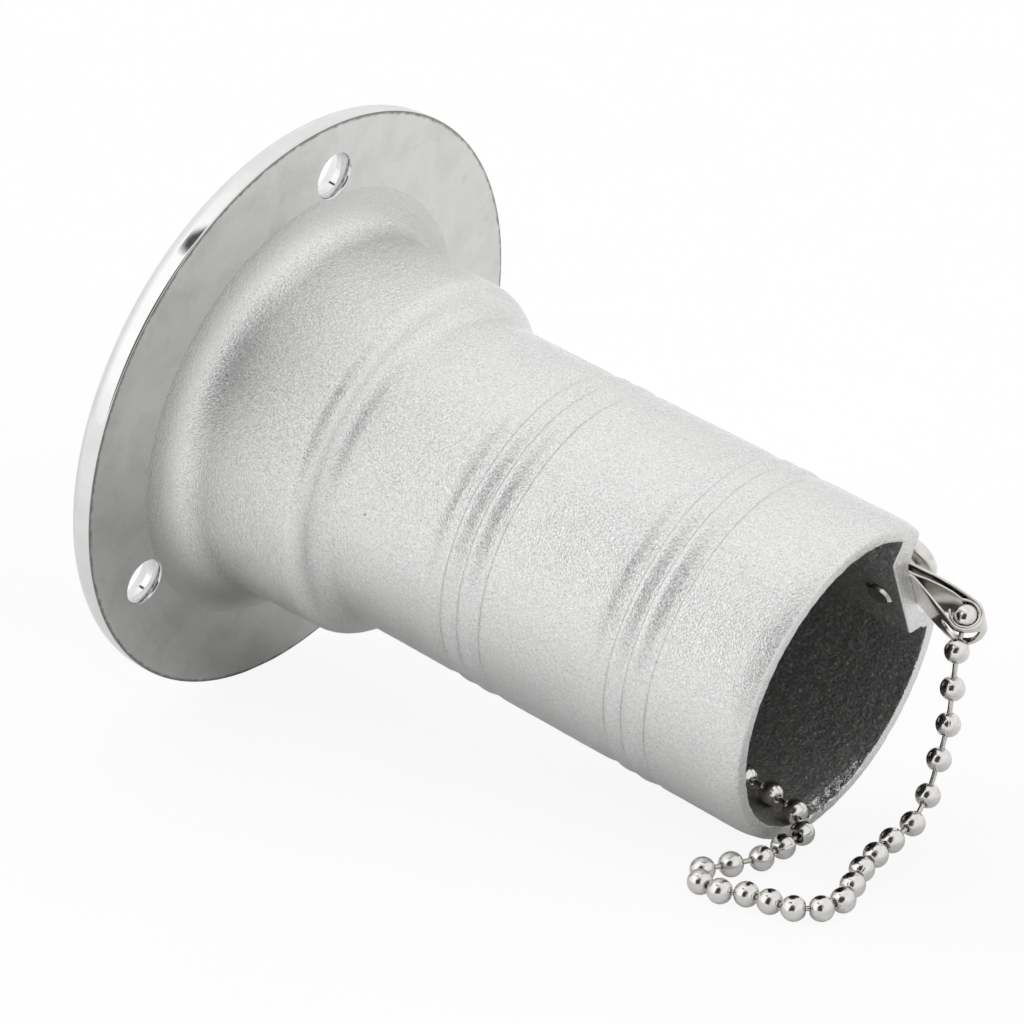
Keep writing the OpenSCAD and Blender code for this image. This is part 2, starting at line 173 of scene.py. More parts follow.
def resample(points, step):
    """Points along a polyline no further apart than step, with its corners kept."""
    result = [points[0]]
    for start, end in zip(points[:-1], points[1:]):
        length = math.hypot(end[0] - start[0], end[1] - start[1])
        n = max(1, int(math.ceil(length / step)))
        for i in range(1, n + 1):
            result.append((start[0] + (end[0] - start[0]) * i / n,
                           start[1] + (end[1] - start[1]) * i / n))
    return result


def smooth_curve(points, steps):
    """Catmull-Rom curve through the points, with a number of steps from each to the next."""
    last = len(points) - 1
    curve = []
    for i in range(last):
        around = [points[min(max(i + k, 0), last)] for k in (-1, 0, 1, 2)]
        for k in range(steps):
            t = k / steps
            curve.append(tuple(
                0.5 * ((2 * start) + (-before + end) * t
                       + (2 * before - 5 * start + 4 * end - after) * t * t
                       + (-before + 3 * start - 3 * end + after) * t ** 3)
                for before, start, end, after in zip(*around)))
    curve.append(points[-1])
    return curve


# ---------------------------------------------------------------- changing meshes
def apply_modifiers(piece):
    bpy.context.view_layer.update()
    depsgraph = bpy.context.evaluated_depsgraph_get()
    mesh = bpy.data.meshes.new_from_object(piece.evaluated_get(depsgraph))
    piece.modifiers.clear()
    old = piece.data
    piece.data = mesh
    bpy.data.meshes.remove(old)


def boolean(piece, cutter, operation="DIFFERENCE"):
    modifier = piece.modifiers.new("cut", "BOOLEAN")
    modifier.operation = operation
    modifier.object = cutter
    modifier.solver = "EXACT"
    apply_modifiers(piece)
    bpy.data.objects.remove(cutter)


def tidy(piece):
    """Weld what the booleans left split, and drop slivers that hang loose."""
    bm = bmesh.new()
    bm.from_mesh(piece.data)
    bmesh.ops.remove_doubles(bm, verts=bm.verts, dist=0.0015 * MM)
    bmesh.ops.triangulate(bm, faces=[f for f in bm.faces if len(f.verts) > 4])
    bmesh.ops.dissolve_degenerate(bm, dist=0.001 * MM, edges=bm.edges)
    seen, loose = set(), []
    for start in bm.faces:
        if start in seen:
            continue
        seen.add(start)
        island, queue = [start], [start]
        while queue:
            for edge in queue.pop().edges:
                for face in edge.link_faces:
                    if face not in seen:
                        seen.add(face)
                        island.append(face)
                        queue.append(face)
        if len(island) < 10:
            loose += island
    if loose:
        bmesh.ops.delete(bm, geom=loose, context="FACES")
    rims = [e for e in bm.edges if len(e.link_faces) == 1]
    if rims:
        bmesh.ops.holes_fill(bm, edges=rims, sides=12)
    bm.to_mesh(piece.data)
    bm.free()
    piece.data.update()


def smooth_by_angle(piece, degrees):
    """Shade smooth, with edges sharper than the angle kept crisp."""
    mesh = piece.data
    mesh.polygons.foreach_set("use_smooth", [True] * len(mesh.polygons))
    bm = bmesh.new()
    bm.from_mesh(mesh)
    limit = math.radians(degrees)
    for edge in bm.edges:
        edge.smooth = not (len(edge.link_faces) == 2 and edge.calc_face_angle(0) > limit)
    bm.to_mesh(mesh)
    bm.free()


def join(pieces, name):
    verts, faces = [], []
    for piece in pieces:
        first = len(verts)
        verts += [tuple(v.co) for v in piece.data.vertices]
        faces += [[first + i for i in p.vertices] for p in piece.data.polygons]
    joined = add_mesh(name, verts, faces)
    for piece in pieces:
        bpy.data.objects.remove(piece)
    joined.name = name
    return joined


def read_vectors(items, field):
    values = np.zeros(len(items) * 3)
    items.foreach_get(field, values)
    return values.reshape(-1, 3)


def move_to(piece, axes, origin):
    """Carry a piece from its own frame to the row's."""
    coords = read_vectors(piece.data.vertices, "co") * 1000
    coords = (coords @ axes.T + origin) * MM
    piece.data.vertices.foreach_set("co", coords.astype(np.float32).ravel())
    piece.data.update()


def set_materials(piece, *names):
    piece.data.materials.clear()
    for name in names:
        piece.data.materials.append(MAT[name])


def register(piece, body, node):
    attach(piece, body)
    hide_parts(node)


def finish(piece, material, sharp_angle, body, node):
    set_materials(piece, material)
    smooth_by_angle(piece, sharp_angle)
    register(piece, body, node)


# ---------------------------------------------------------------- shader trees
class Shading:
    """Builds the node tree of a material or a world."""

    def __init__(self, owner, output_kind):
        owner.use_nodes = True
        self.tree = owner.node_tree
        self.tree.nodes.clear()
        self.output = self.add(output_kind)

    def add(self, kind, **settings):
        node = self.tree.nodes.new("ShaderNode" + kind)
        for name, value in settings.items():
            setattr(node, name, value)
        return node

    def feed(self, socket, value):
        """Link a socket to another node's output, or set its value."""
        if isinstance(value, bpy.types.NodeSocket):
            self.tree.links.new(value, socket)
        elif socket.type == "RGBA":
            socket.default_value = (*value, 1)
        else:
            socket.default_value = value

    def node(self, kind, inputs, output=0, **settings):
        """Add a node, feed its inputs by number or name, and give back one output."""
        node = self.add(kind, **settings)
        for key, value in inputs.items():
            self.feed(node.inputs[key], value)
        return node.outputs[output]

    def split(self, vector):
        """The x, y and z outputs of a vector."""
        node = self.add("SeparateXYZ")
        self.feed(node.inputs[0], vector)
        return node.outputs

    def math(self, operation, *operands):
        return self.node("Math", dict(enumerate(operands)), operation=operation)

    def vector_math(self, operation, *operands, output=0):
        return self.node("VectorMath", dict(enumerate(operands)), output, operation=operation)

    def remap(self, value, span, to):
        """Carry the span onto the two values in to, held at both ends."""
        inputs = dict(enumerate((value, *span, *to)))
        return self.node("MapRange", inputs, clamp=True)

    def mix(self, factor, first, second, blend="MIX"):
        return self.node("Mix", {0: factor, 6: first, 7: second}, 2,
                         data_type="RGBA", blend_type=blend)

    def mix_shader(self, factor, first, second):
        return self.node("MixShader", {0: factor, 1: first, 2: second})

    def ramp(self, value, stops):
        """Colour ramp from stops of (position, colour or grey)."""
        node = self.add("ValToRGB")
        elements = node.color_ramp.elements
        while len(elements) < len(stops):
            elements.new(0.5)
        for element, (position, colour) in zip(elements, stops):
            rgb = colour if isinstance(colour, tuple) else (colour,) * 3
            element.position = position
            element.color = (*rgb, 1)
        self.feed(node.inputs[0], value)
        return node.outputs[0]


class Surface(Shading):
    """A material whose textures run in the piece's own coordinates, in mm."""

    def __init__(self, name):
        self.material = bpy.data.materials.new(name)
        super().__init__(self.material, "OutputMaterial")
        own = self.add("TexCoord").outputs["Object"]
        self.coords = self.node("VectorMath", {0: own, "Scale": 1000.0}, operation="SCALE")

    def noise(self, scale, detail=3.0, roughness=0.5, distortion=0.0):
        return self.node("TexNoise", {"Vector": self.coords, "Scale": scale, "Detail": detail,
                                      "Roughness": roughness, "Distortion": distortion}, "Fac")

    def cells(self, scale):
        """Distance to the nearest point of a cell pattern."""
        return self.node("TexVoronoi", {"Vector": self.coords, "Scale": scale}, "Distance",
                         feature="F1")

    def bump(self, height, depth, strength, under=None):
        """Bump with its depth in mm, laid over another bump."""
        inputs = {"Height": height, "Distance": depth * MM, "Strength": strength}
        if under is not None:
            inputs["Normal"] = under
        return self.node("Bump", inputs)

    def finish(self, colour, roughness, normal, metallic=1.0):
        shader = self.node("BsdfPrincipled", {"Base Color": colour, "Roughness": roughness,
                                              "Normal": normal, "Metallic": metallic})
        self.feed(self.output.inputs[0], shader)
        return self.material


# ---------------------------------------------------------------- materials
def cast_material():
    """Bright blasted casting with scattered dark pits, painted shade under the flange, and painted
    shade in the steps of the barbs where the mesh asks for it.
    """
    look = Surface("bead_blasted_cast_steel")
    grain = look.noise(scale=3.3, roughness=0.68)
    peel = look.noise(scale=1.35, roughness=0.6)
    soft = look.noise(scale=0.16, detail=2.0)
    dimples = look.cells(scale=3.9)
    colour = look.ramp(grain, [(0.30, (0.60, 0.60, 0.595)), (0.50, (0.81, 0.81, 0.805)),
                               (0.72, (0.99, 0.99, 0.985))])
    colour = look.mix(look.remap(soft, span=(0.3, 0.7), to=(0.0, 0.35)), colour,
                      (0.85, 0.845, 0.835))
    pits = look.remap(look.cells(scale=0.085), span=(0.010, 0.024), to=(0.75, 0.0))
    colour = look.mix(pits, colour, (0.16, 0.15, 0.14))
    # painted shade: darker where the surface near the flange faces -Z
    normal_z = look.split(look.add("NewGeometry").outputs["Normal"])[2]
    height = look.split(look.coords)[2]
    under = look.math("MULTIPLY", look.remap(normal_z, span=(-0.93, -0.62), to=(1.0, 0.0)),
                      look.remap(height, span=(-9.0, -7.0), to=(0.0, 1.0)))
    colour = look.mix(look.math("MULTIPLY", under, 0.85), colour, (0.60, 0.595, 0.585))
    # painted shade in the steps of the barbs, from the mesh's values, broken up by noise
    barb_shade = look.add("Attribute", attribute_name="painted_step_shade").outputs["Fac"]
    barb_shade = look.math("MULTIPLY", barb_shade, look.remap(peel, span=(0.35, 0.65), to=(0.30, 0.78)))
    colour = look.mix(barb_shade, colour, (0.24, 0.237, 0.232))
    roughness = look.remap(grain, span=(0.25, 0.75), to=(0.16, 0.29))
    normal = look.bump(soft, depth=0.25, strength=0.4)
    normal = look.bump(peel, depth=0.12, strength=0.8, under=normal)
    normal = look.bump(dimples, depth=0.060, strength=0.9, under=normal)
    normal = look.bump(grain, depth=0.11, strength=1.0, under=normal)
    return look.finish(colour, roughness, normal)


def back_material():
    """Satin underside of the flange, cloudy, with a ragged brown line round its edge."""
    look = Surface("satin_flange_back")
    fine = look.noise(scale=4.5, detail=2.0, roughness=0.6)
    cloud = look.noise(scale=0.10, detail=4.0, roughness=0.6, distortion=0.4)
    x, y, _ = look.split(look.coords)
    radius = look.math("SQRT", look.math("ADD", look.math("MULTIPLY", x, x),
                                         look.math("MULTIPLY", y, y)))
    colour = look.ramp(cloud, [(0.3, (0.60, 0.595, 0.585)), (0.55, (0.70, 0.70, 0.69)),
                               (0.8, (0.66, 0.645, 0.625))])
    ragged = look.math("MULTIPLY", look.noise(scale=0.7), 0.9)
    edge = look.remap(look.math("ADD", radius, ragged), span=(47.55, 47.95), to=(0.0, 1.0))
    colour = look.mix(look.math("MULTIPLY", edge, 0.85), colour, (0.20, 0.17, 0.14))
    stain = look.remap(look.noise(scale=0.22, detail=5.0, roughness=0.7),
                       span=(0.60, 0.74), to=(0.0, 0.35))
    colour = look.mix(stain, colour, (0.42, 0.39, 0.35))
    roughness = look.remap(cloud, span=(0.3, 0.7), to=(0.34, 0.44))
    normal = look.bump(look.noise(scale=0.35, detail=4.0), depth=0.26, strength=0.45)
    normal = look.bump(fine, depth=0.065, strength=0.8, under=normal)
    return look.finish(colour, roughness, normal)


def rim_material():
    look = Surface("mirror_polished_rim")
    colour = look.ramp(look.noise(scale=0.25, detail=2.0), [(0.3, 0.74), (0.7, 0.79)])
    roughness = look.remap(look.noise(scale=1.5), span=(0.3, 0.7), to=(0.03, 0.09))
    normal = look.bump(look.noise(scale=0.12, detail=2.0), depth=0.15, strength=0.18)
    normal = look.bump(look.noise(scale=6.0, detail=2.0), depth=0.004, strength=0.4,
                       under=normal)
    return look.finish(colour, roughness, normal)


def bore_material():
    look = Surface("dark_cast_bore")
    grain = look.noise(scale=2.4, roughness=0.68)
    patches = look.noise(scale=0.22)
    colour = look.ramp(grain, [(0.3, (0.20, 0.196, 0.192)), (0.58, (0.36, 0.355, 0.35)),
                               (0.76, (0.90, 0.89, 0.87))])
    colour = look.mix(look.remap(patches, span=(0.3, 0.7), to=(0.0, 0.35)), colour,
                      (0.70, 0.69, 0.68), "MULTIPLY")
    roughness = look.remap(grain, span=(0.2, 0.8), to=(0.50, 0.66))
    normal = look.bump(look.noise(scale=0.7), depth=0.40, strength=0.8)
    normal = look.bump(grain, depth=0.20, strength=1.0, under=normal)
    return look.finish(colour, roughness, normal, metallic=0.75)


def bright_material(name, base, rough, grain_scale, scratch, dent=0.0125):
    """Bright steel: scratch is how far fine specks darken it, dent its unevenness in mm."""
    look = Surface(name)
    grain = look.noise(scale=grain_scale, roughness=0.6)
    fine = look.noise(scale=9.0, detail=2.0, roughness=0.6)
    colour = look.ramp(grain, [(0.3, tuple(c * 0.90 for c in base)), (0.7, base)])
    speck_tint = (0.9, 0.88, 0.85)
    speck = tuple(c * tint * 0.7 for c, tint in zip(base, speck_tint))
    colour = look.mix(look.remap(fine, span=(0.55, 0.8), to=(0.0, scratch)), colour, speck)
    roughness = look.remap(grain, span=(0.3, 0.7), to=(rough * 0.7, rough * 1.4))
    normal = look.bump(grain, depth=dent, strength=1.0)
    normal = look.bump(fine, depth=0.008, strength=0.5, under=normal)
    return look.finish(colour, roughness, normal)


def rubber_material():
    look = Surface("seal_rubber")
    grain = look.noise(scale=5.0)
    return look.finish(look.ramp(grain, [(0.3, 0.012), (0.7, 0.03)]),
                       look.remap(grain, span=(0.3, 0.7), to=(0.42, 0.6)),
                       look.bump(grain, depth=0.02, strength=0.6), metallic=0.0)


MAT = {
    "cast": cast_material(),
    "back": back_material(),
    "rim": rim_material(),
    "bore": bore_material(),
    "bead": bright_material("polished_bead_steel", base=(0.83, 0.81, 0.79), rough=0.09,
                            grain_scale=1.0, scratch=0.5, dent=0.075),
    "pin": bright_material("drawn_link_wire", base=(0.66, 0.63, 0.60), rough=0.20,
                           grain_scale=3.0, scratch=0.4),
    "strip": bright_material("rolled_clasp_strip", base=(0.74, 0.72, 0.69), rough=0.17,
                             grain_scale=0.8, scratch=0.35),
    "screw": bright_material("turned_screw_steel", base=(0.80, 0.78, 0.75), rough=0.16,
                             grain_scale=0.9, scratch=0.3),
    "polish": bright_material("polished_cap_steel", base=(0.90, 0.90, 0.90), rough=0.06,
                              grain_scale=0.15, scratch=0.1),
    "rubber": rubber_material(),
}
NODE_MAT = {"filler_body": "cast", "fill_cap": "polish", "cap_o_ring": "rubber",
            "neck_chain_screw": "screw", "cap_chain_screw": "screw",
            "neck_clasp": "strip", "cap_clasp": "strip"}
for node_name, cad_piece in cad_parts.items():
    default = "pin" if node_name.endswith("pins") else "bead"
    set_materials(cad_piece, NODE_MAT.get(node_name, default))

# ---------------------------------------------------------------- filler body
NECK_LEN = 101.1
MOUTH_Z = -NECK_LEN
NECK_R = 25            # outside of the neck
BORE_R = 22.3
FLANGE_R = 47.8
SEAT_R = 28.0          # where the domed face starts, round the opening
EDGE_ROUND = 2.9       # rounding between the domed face and the rim
EDGE_X, EDGE_Z = FLANGE_R - EDGE_ROUND, 1.9
DOME_TOP = 6.6
DOME_EDGE_R = EDGE_X + EDGE_ROUND * math.cos(76 * DEG)
DOME_EDGE_Z = EDGE_Z + EDGE_ROUND * math.sin(76 * DEG)
HUB_R, HUB_FILLET = 29.5, 6.0      # hub under the flange, and the fillet into the flange
HUB_FOOT_R, HUB_FOOT_Z = 29.1, -21.1
SHOULDER_OUT, SHOULDER_IN = 3.0, 3.4   # roundings of the step from hub to neck
SHOULDER_TURN = 66     # degrees turned by each rounding
BARB_DEPTH = 0.34
# top of each barb below the flange, and seeds of its slow and its fine drift along the neck
BARBS = [(44.4, 3.0, 1.0), (74.3, 9.0, 4.0)]
# (distance below the barb's top, share of the barb's depth)
BARB_POINTS = [
    (0, 0), (0.7, -0.2), (1.5, -0.8), (2.4, -1.05), (3.30, -1.05), (3.5, -0.15), (4.1, 0.35),
    (4.8, 0.05), (5.7, -0.7), (6.4, -0.85), (6.6, -0.05), (7.3, 0.5), (8.2, 0.1), (9.0, -0.7),
    (9.9, -1), (10.5, -0.95), (10.8, -0.12), (11.5, 0)]
# painted shade in the steps of a barb: (distance below its top, spread, strength)
BARB_SHADE_LINES = [(3.42, 0.13, 1.0), (6.52, 0.13, 0.95), (10.62, 0.30, 0.38)]
TORN_AZ = -124.0       # degrees, middle of the ragged part of the mouth
THREAD_PITCH = 2.5
THREAD_Z = -13.2
FIXING_R = 38.8        # circle of the three countersunk holes
FIXING_AZ = [(67.3 + 120 * k) * DEG for k in range(3)]

# The recess and boss at the mouth have their own frame: out from the axis, along the wall, z.
RECESS_AZ = 125.5 * DEG
RECESS_OUT = polar(1.0, RECESS_AZ, 0.0)
RECESS_ALONG = tangent(RECESS_AZ)
RECESS_FLOOR = 18.3    # distance of the recess floor from the axis
BOSS_FACE = 15.55      # distance of the boss's flat face from the axis
SCREW_Z = MOUTH_Z + 4.1
# (out, along)
BOSS_OUTLINE = [
    (BOSS_FACE, -9.3), (15.62, -9.75), (15.9, -10.2), (18.2, -11.6), (18.7, -12.2),
    (22.9, -12.9), (22.9, 11.9), (18.7, 10.8), (18.1, 9.6), (15.95, 8.4), (15.65, 7.95),
    (BOSS_FACE, 7.4)]
RECESS_OUTLINE = [
    (18.9, -6.75), (18.55, -6.45), (18.36, -6.0), (RECESS_FLOOR, -5.4), (RECESS_FLOOR, 5.2),
    (18.36, 5.8), (18.55, 6.25), (18.9, 6.55), (26.5, 14.4), (26.5, -14.2)]
# (radius, z) round the countersunk holes' own axes
FIXING_CUTTER = [(0, -1.5), (4.15, -1.5), (4.15, -0.35), (3.75, 0.02), (3.6, 0.3), (3.6, 2.7),
                 (8.2, 7.2), (8.2, 9), (0, 9)]


def recess_point(out, along, z):
    return RECESS_OUT * out + RECESS_ALONG * along + np.array([0, 0, z])


def recess_prism(name, outline, z_low, z_high):
    return extrusion(name, *([recess_point(out, along, z) for out, along in outline]
                             for z in (z_low, z_high)))


def dome_height(radius):
    share = (radius - SEAT_R) / (DOME_EDGE_R - SEAT_R)
    return DOME_TOP - (DOME_TOP - DOME_EDGE_Z) * share ** 2


def body_profile():
    """Closed (radius, z) outline: over the flange, down the outside, back up the bore."""
    points = [(SEAT_R, 6.3), (28.06, 6.48), (28.16, 6.56)]
    dome_start = SEAT_R + 0.3
    radii = [dome_start + (DOME_EDGE_R - dome_start) * i / 14 for i in range(15)]
    points += [(radius, dome_height(radius)) for radius in radii]
    points += arc(EDGE_X, EDGE_Z, EDGE_ROUND, 70, 0, 10)
    points += [(FLANGE_R, 1.2), (FLANGE_R, 0.55), (47.78, 0.28), (47.7, 0.10), (47.55, 0.02),
               (47.35, 0.0)]
    points += [(radius, 0) for radius in (46.0, 44.0, 42.0, 40.0, 38.0, 36.6)]
    points += arc(HUB_R + HUB_FILLET, -HUB_FILLET, HUB_FILLET, 90, 180, 18)
    points += resample([(HUB_R, -HUB_FILLET), (HUB_FOOT_R, HUB_FOOT_Z)], 0.6)[1:]
    # shoulder: two opposite roundings with a straight slope between them
    points += arc(HUB_FOOT_R - SHOULDER_OUT, HUB_FOOT_Z, SHOULDER_OUT, 0, -SHOULDER_TURN, 14)[1:]
    turn = SHOULDER_TURN * DEG
    roundings = SHOULDER_OUT + SHOULDER_IN
    slope = (HUB_FOOT_R - NECK_R - roundings * (1 - math.cos(turn))) / math.sin(turn)
    length = roundings * math.sin(turn) + slope * math.cos(turn)
    points += arc(NECK_R + SHOULDER_IN, HUB_FOOT_Z - length, SHOULDER_IN,
                  180 - SHOULDER_TURN, 180, 14)
    for top, _, _ in BARBS:
        barb = smooth_curve([(NECK_R + BARB_DEPTH * share, -(top + down))
                             for down, share in BARB_POINTS], 4)
        points += resample([points[-1], barb[0]], 0.6)[1:-1] + barb
    taper = [(NECK_R - 0.62 * (i / 12) ** 2.2, -(96.9 + 4.2 * i / 12)) for i in range(12)]
    points += resample([points[-1], taper[0]], 0.6)[1:-1] + taper
    # the mouth's edge
    points += [(24.33, -100.98), (24.2, -101.07), (24.0, MOUTH_Z), (23.4, MOUTH_Z),
               (22.8, MOUTH_Z), (22.5, -101.08), (22.36, -101.0), (BORE_R, -100.85)]
    # the bore, the cone above it and the wider threaded part
    points += resample([(BORE_R, -100.5), (BORE_R, -97.7)], 0.35)
    points += resample([(BORE_R, -97.0), (BORE_R, -23)], 1.0)
    points += [(22.4, -22.7), (22.7, -22.2)]
    points += resample([(23.0, -21.7), (25.7, -17.7)], 0.8) + [(25.9, -17.3)]
    points += resample([(25.9, -16.5), (25.9, 0.4)], 0.8)
    points += [(26.2, 0.4), (27.7, 0.4), (SEAT_R, 0.6)]
    points += resample([(SEAT_R, 1.2), (SEAT_R, 6.0)], 0.8)
    return points


def wave(angle, waves, seed):
    """Smooth periodic noise round the axis."""
    return noise.noise(Vector((waves * math.cos(angle) + seed, waves * math.sin(angle),
                               seed * 1.7)))


def barb_drift(angle, slow_seed, fine_seed):
    """How far a barb strays along the neck."""
    return 0.16 * wave(angle, 1.6, slow_seed) + 0.05 * wave(angle, 9.0, fine_seed)


def from_torn(degrees):
    """Degrees away from the middle of the ragged part, from -180 to 180."""
    return (degrees - TORN_AZ + 180.0) % 360.0 - 180.0


def body_wobble(angle, radius, z):
    """Unevenness of the casting, as (outwards, upwards)."""
    if z > -0.05 or radius < 22.35 and z > -98:
        return 0.0, 0.0
    at = Vector((radius * math.cos(angle), radius * math.sin(angle), z))
    skin = min(1.0, max(0.0, -z / 5.0))
    out = skin * (0.030 * noise.noise(at * 0.9) + 0.020 * noise.noise(at * 2.1 + Vector((7, 3, 1)))
                  + 0.05 * noise.noise(at * 0.12))
    rise = 0.0
    if -90 < z < -42:
        _, slow_seed, fine_seed = BARBS[0 if z > -60 else 1]
        rise += barb_drift(angle, slow_seed, fine_seed)
    if z < -100.7:
        out += (0.10 * wave(angle, 14.0, 5.0 if radius > 23.4 else 8.0)
                + (0.10 * wave(angle, 30.0, 2.0) if radius < 23 else 0.0))
        rise += 0.06 * noise.noise(at * 0.8)
    if radius < 23.6 and z < -98:
        # torn casting skin on one side of the mouth
        window = max(0.0, 1.0 - (from_torn(angle / DEG) / 27.0) ** 2)
        ragged = max(0.0, 0.42 + 0.8 * wave(angle, 19.0, 2.5) + 0.7 * wave(angle, 52.0, 6.5)
                     + 0.35 * noise.noise(at * 1.9))
        deep = min(1.0, (-98.0 - z) / 2.6)
        out += window * ragged * (1.0 - max(0.0, radius - BORE_R) / 1.3) * deep * 0.85
        out += window * 0.16 * noise.noise(at * 2.6) * deep
        rise += window * 0.18 * noise.noise(at * 1.7) * deep
    return out, rise


# section of a thread ridge: (share of its height, side and share of its half thickness)
RIDGE_SECTION = [(0, -1), (0.5, -1), (0.93, -1), (1.0, -0.6), (1.0, 0.6), (0.93, 1), (0.5, 1),
                 (0, 1)]


def thread_ridge(name, root_radius, crest_radius, root_half, z, sweep, step):
    """Helical ridge through sweep degrees, run out at both ends over 22 degrees."""
    crest_half = 0.35
    n = int(math.ceil(sweep / step))
    verts = []
    for i in range(n + 1):
        angle = sweep * i / n
        run = min(1.0, 0.15 + 0.85 * min(i, n - i) / (n * 22.0 / sweep))
        centre_z = z + THREAD_PITCH * angle / 360
        for height, side in RIDGE_SECTION:
            radius = root_radius + (crest_radius - root_radius) * height * run
            half = root_half + (crest_half - root_half) * height
            verts.append((radius * math.cos(angle * DEG), radius * math.sin(angle * DEG),
                          centre_z + side * half * (0.35 + 0.65 * run)))
    return solid(name, verts, tube_faces(n + 1, len(RIDGE_SECTION)), smooth=False)


def screw_boss():
    """Boss cast on the inside of the mouth, sloped off at its upper end."""
    boss = recess_prism("boss", BOSS_OUTLINE, MOUTH_Z + 0.02, -83.2)
    corners = [(11, -20, -88.6), (11, 20, -88.6), (24, 20, -76.9), (24, -20, -76.9),
               (11, -20, -70), (11, 20, -70), (24, 20, -70), (24, -20, -70)]
    faces = [(0, 1, 2, 3), (4, 5, 6, 7), (0, 1, 5, 4), (1, 2, 6, 5), (2, 3, 7, 6), (3, 0, 4, 7)]
    boolean(boss, solid("boss_top", [recess_point(*c) for c in corners], faces, smooth=False))
    bevel = boss.modifiers.new("round", "BEVEL")
    bevel.width = 0.35 * MM
    bevel.segments = 3
    bevel.limit_method = "ANGLE"
    bevel.angle_limit = 25 * DEG
    apply_modifiers(boss)
    boolean(boss, cylinder("keep", 24.2, (0, 0, MOUTH_Z), (0, 0, -70), 96), "INTERSECT")
    return boss


def assign_body_materials(mesh):
    """Choose each face's material by its place and the way it faces."""
    cast, back, rim, bore = range(4)
    centre = read_vectors(mesh.polygons, "center") * 1000
    normal = read_vectors(mesh.polygons, "normal")
    x, y, z = centre.T
    radius = np.hypot(x, y)
    index = np.full(len(centre), cast)
    index[(z > 0.12) & (radius > 27.9)] = rim
    index[(z > 0.35) & (radius <= 28.1)] = rim
    index[(np.abs(z) <= 0.12) & (radius > 35.6) & (normal[:, 2] < -0.5)] = back
    outward = ((normal @ RECESS_OUT > 0.25) & (centre @ RECESS_OUT > 17.5) & (z < -87)
               & (np.abs(centre @ RECESS_ALONG) < 13))
    offset = from_torn(np.degrees(np.arctan2(y, x)))
    torn = (np.abs(offset) < 26) & (z < -99.0 - 1.4 * (offset / 26) ** 2)
    index[(radius < 22.75) & (z > -100.93) & (z < -22) & ~outward & ~torn] = bore
    index[(radius < 26.3) & (z >= -22) & (z < 0.35)] = bore
    for azimuth in FIXING_AZ:
        hole = polar(FIXING_R, azimuth, 0)
        distance = np.hypot(x - hole[0], y - hole[1])
        index[(distance < 4.1) & (np.abs(z) < 3) & (np.abs(normal[:, 2]) < 0.8)] = rim
    mesh.polygons.foreach_set("material_index", index.astype(np.int32))


def add_step_shade(mesh):
    """Painted shade in the steps of the barbs, as a value on each vertex."""
    coords = read_vectors(mesh.vertices, "co") * 1000
    angle = np.arctan2(coords[:, 1], coords[:, 0]) % (2 * math.pi)
    grid = np.linspace(0, 2 * math.pi, 721)
    painted_step_shade = np.zeros(len(coords))
    for top, slow_seed, fine_seed in BARBS:
        drift = np.interp(angle, grid, [barb_drift(g, slow_seed, fine_seed) for g in grid])
        fade = np.interp(angle, grid, [0.72 + 0.5 * wave(g, 5.0, slow_seed + 11) for g in grid])
        down = -(coords[:, 2] - drift) - top
        for step, spread, strength in BARB_SHADE_LINES:
            painted_step_shade += strength * fade * np.exp(-((down - step) / spread) ** 2)
    painted_step_shade[np.hypot(coords[:, 0], coords[:, 1]) < 23.6] = 0
    layer = mesh.attributes.new("painted_step_shade", "FLOAT", "POINT")
    layer.data.foreach_set("value", np.clip(painted_step_shade, 0, 1).astype(np.float32))


def build_filler_body():
    body = lathe("filler_casting", body_profile(), 384, closed=True,
                 wobble=body_wobble)
    boolean(body, screw_boss(), "UNION")
    ridge = thread_ridge("ridge", root_radius=26.2, crest_radius=24.7, root_half=0.975,
                         z=THREAD_Z + THREAD_PITCH / 2, sweep=790, step=8.0)
    boolean(body, ridge, "UNION")
    # recess for the clasp, open at the mouth
    boolean(body, recess_prism("recess", RECESS_OUTLINE, MOUTH_Z - 2, MOUTH_Z + 12.5))
    boolean(body, cylinder("tapped", 2.32, recess_point(13.5, 0, SCREW_Z),
                           recess_point(20.5, 0, SCREW_Z), 48))
    for azimuth in FIXING_AZ:
        boolean(body, lathe("hole", FIXING_CUTTER, 64, polar(FIXING_R, azimuth, 0),
                            smooth=False))
    tidy(body)
    set_materials(body, "cast", "back", "rim", "bore")
    assign_body_materials(body.data)
    add_step_shade(body.data)
    smooth_by_angle(body, 38)
    register(body, "neck_fixed", "filler_body")


build_filler_body()

# ---------------------------------------------------------------- clasp sizes
# A clasp's own frame: x from its screw towards the bead it holds, z away from its seat.
CLASP_R = 2.75         # outside of the loop round the bead
SHEET = 0.45           # thickness of the strip
LOOP_Z = -0.5          # centre of the loop
REACH = 13.6           # from the screw to the centre of the loop
LUG_GAP = LOOP_Z + CLASP_R - SHEET     # height of the upper lug's lower face
LUG_R = 3.7
CAP_BOSS_Z = -4.0      # lower face of the boss inside the cap
CAP_CLASP_Z = CAP_BOSS_Z - 0.1 - LUG_GAP - SHEET

# ---------------------------------------------------------------- chain path
# The bench touches the neck's lip and the flange's rim; LAY is the azimuth of that line.
LAY = 250.75 * DEG
LIP_R = 24.775
REST_SPAN = 102.1      # along z, from the lip to where the rim rests
TILT = math.atan((FLANGE_R - LIP_R) / REST_SPAN)
BENCH_UP = np.array([-math.cos(LAY) * math.cos(TILT), -math.sin(LAY) * math.cos(TILT),
                     math.sin(TILT)])
# along the bench, from the flange past the mouth
BENCH_OUT = np.array([-math.cos(LAY) * math.sin(TILT), -math.sin(LAY) * math.sin(TILT),
                      -math.cos(TILT)])
BENCH_SIDE = tangent(LAY)
LIP = polar(LIP_R, LAY, MOUTH_Z)

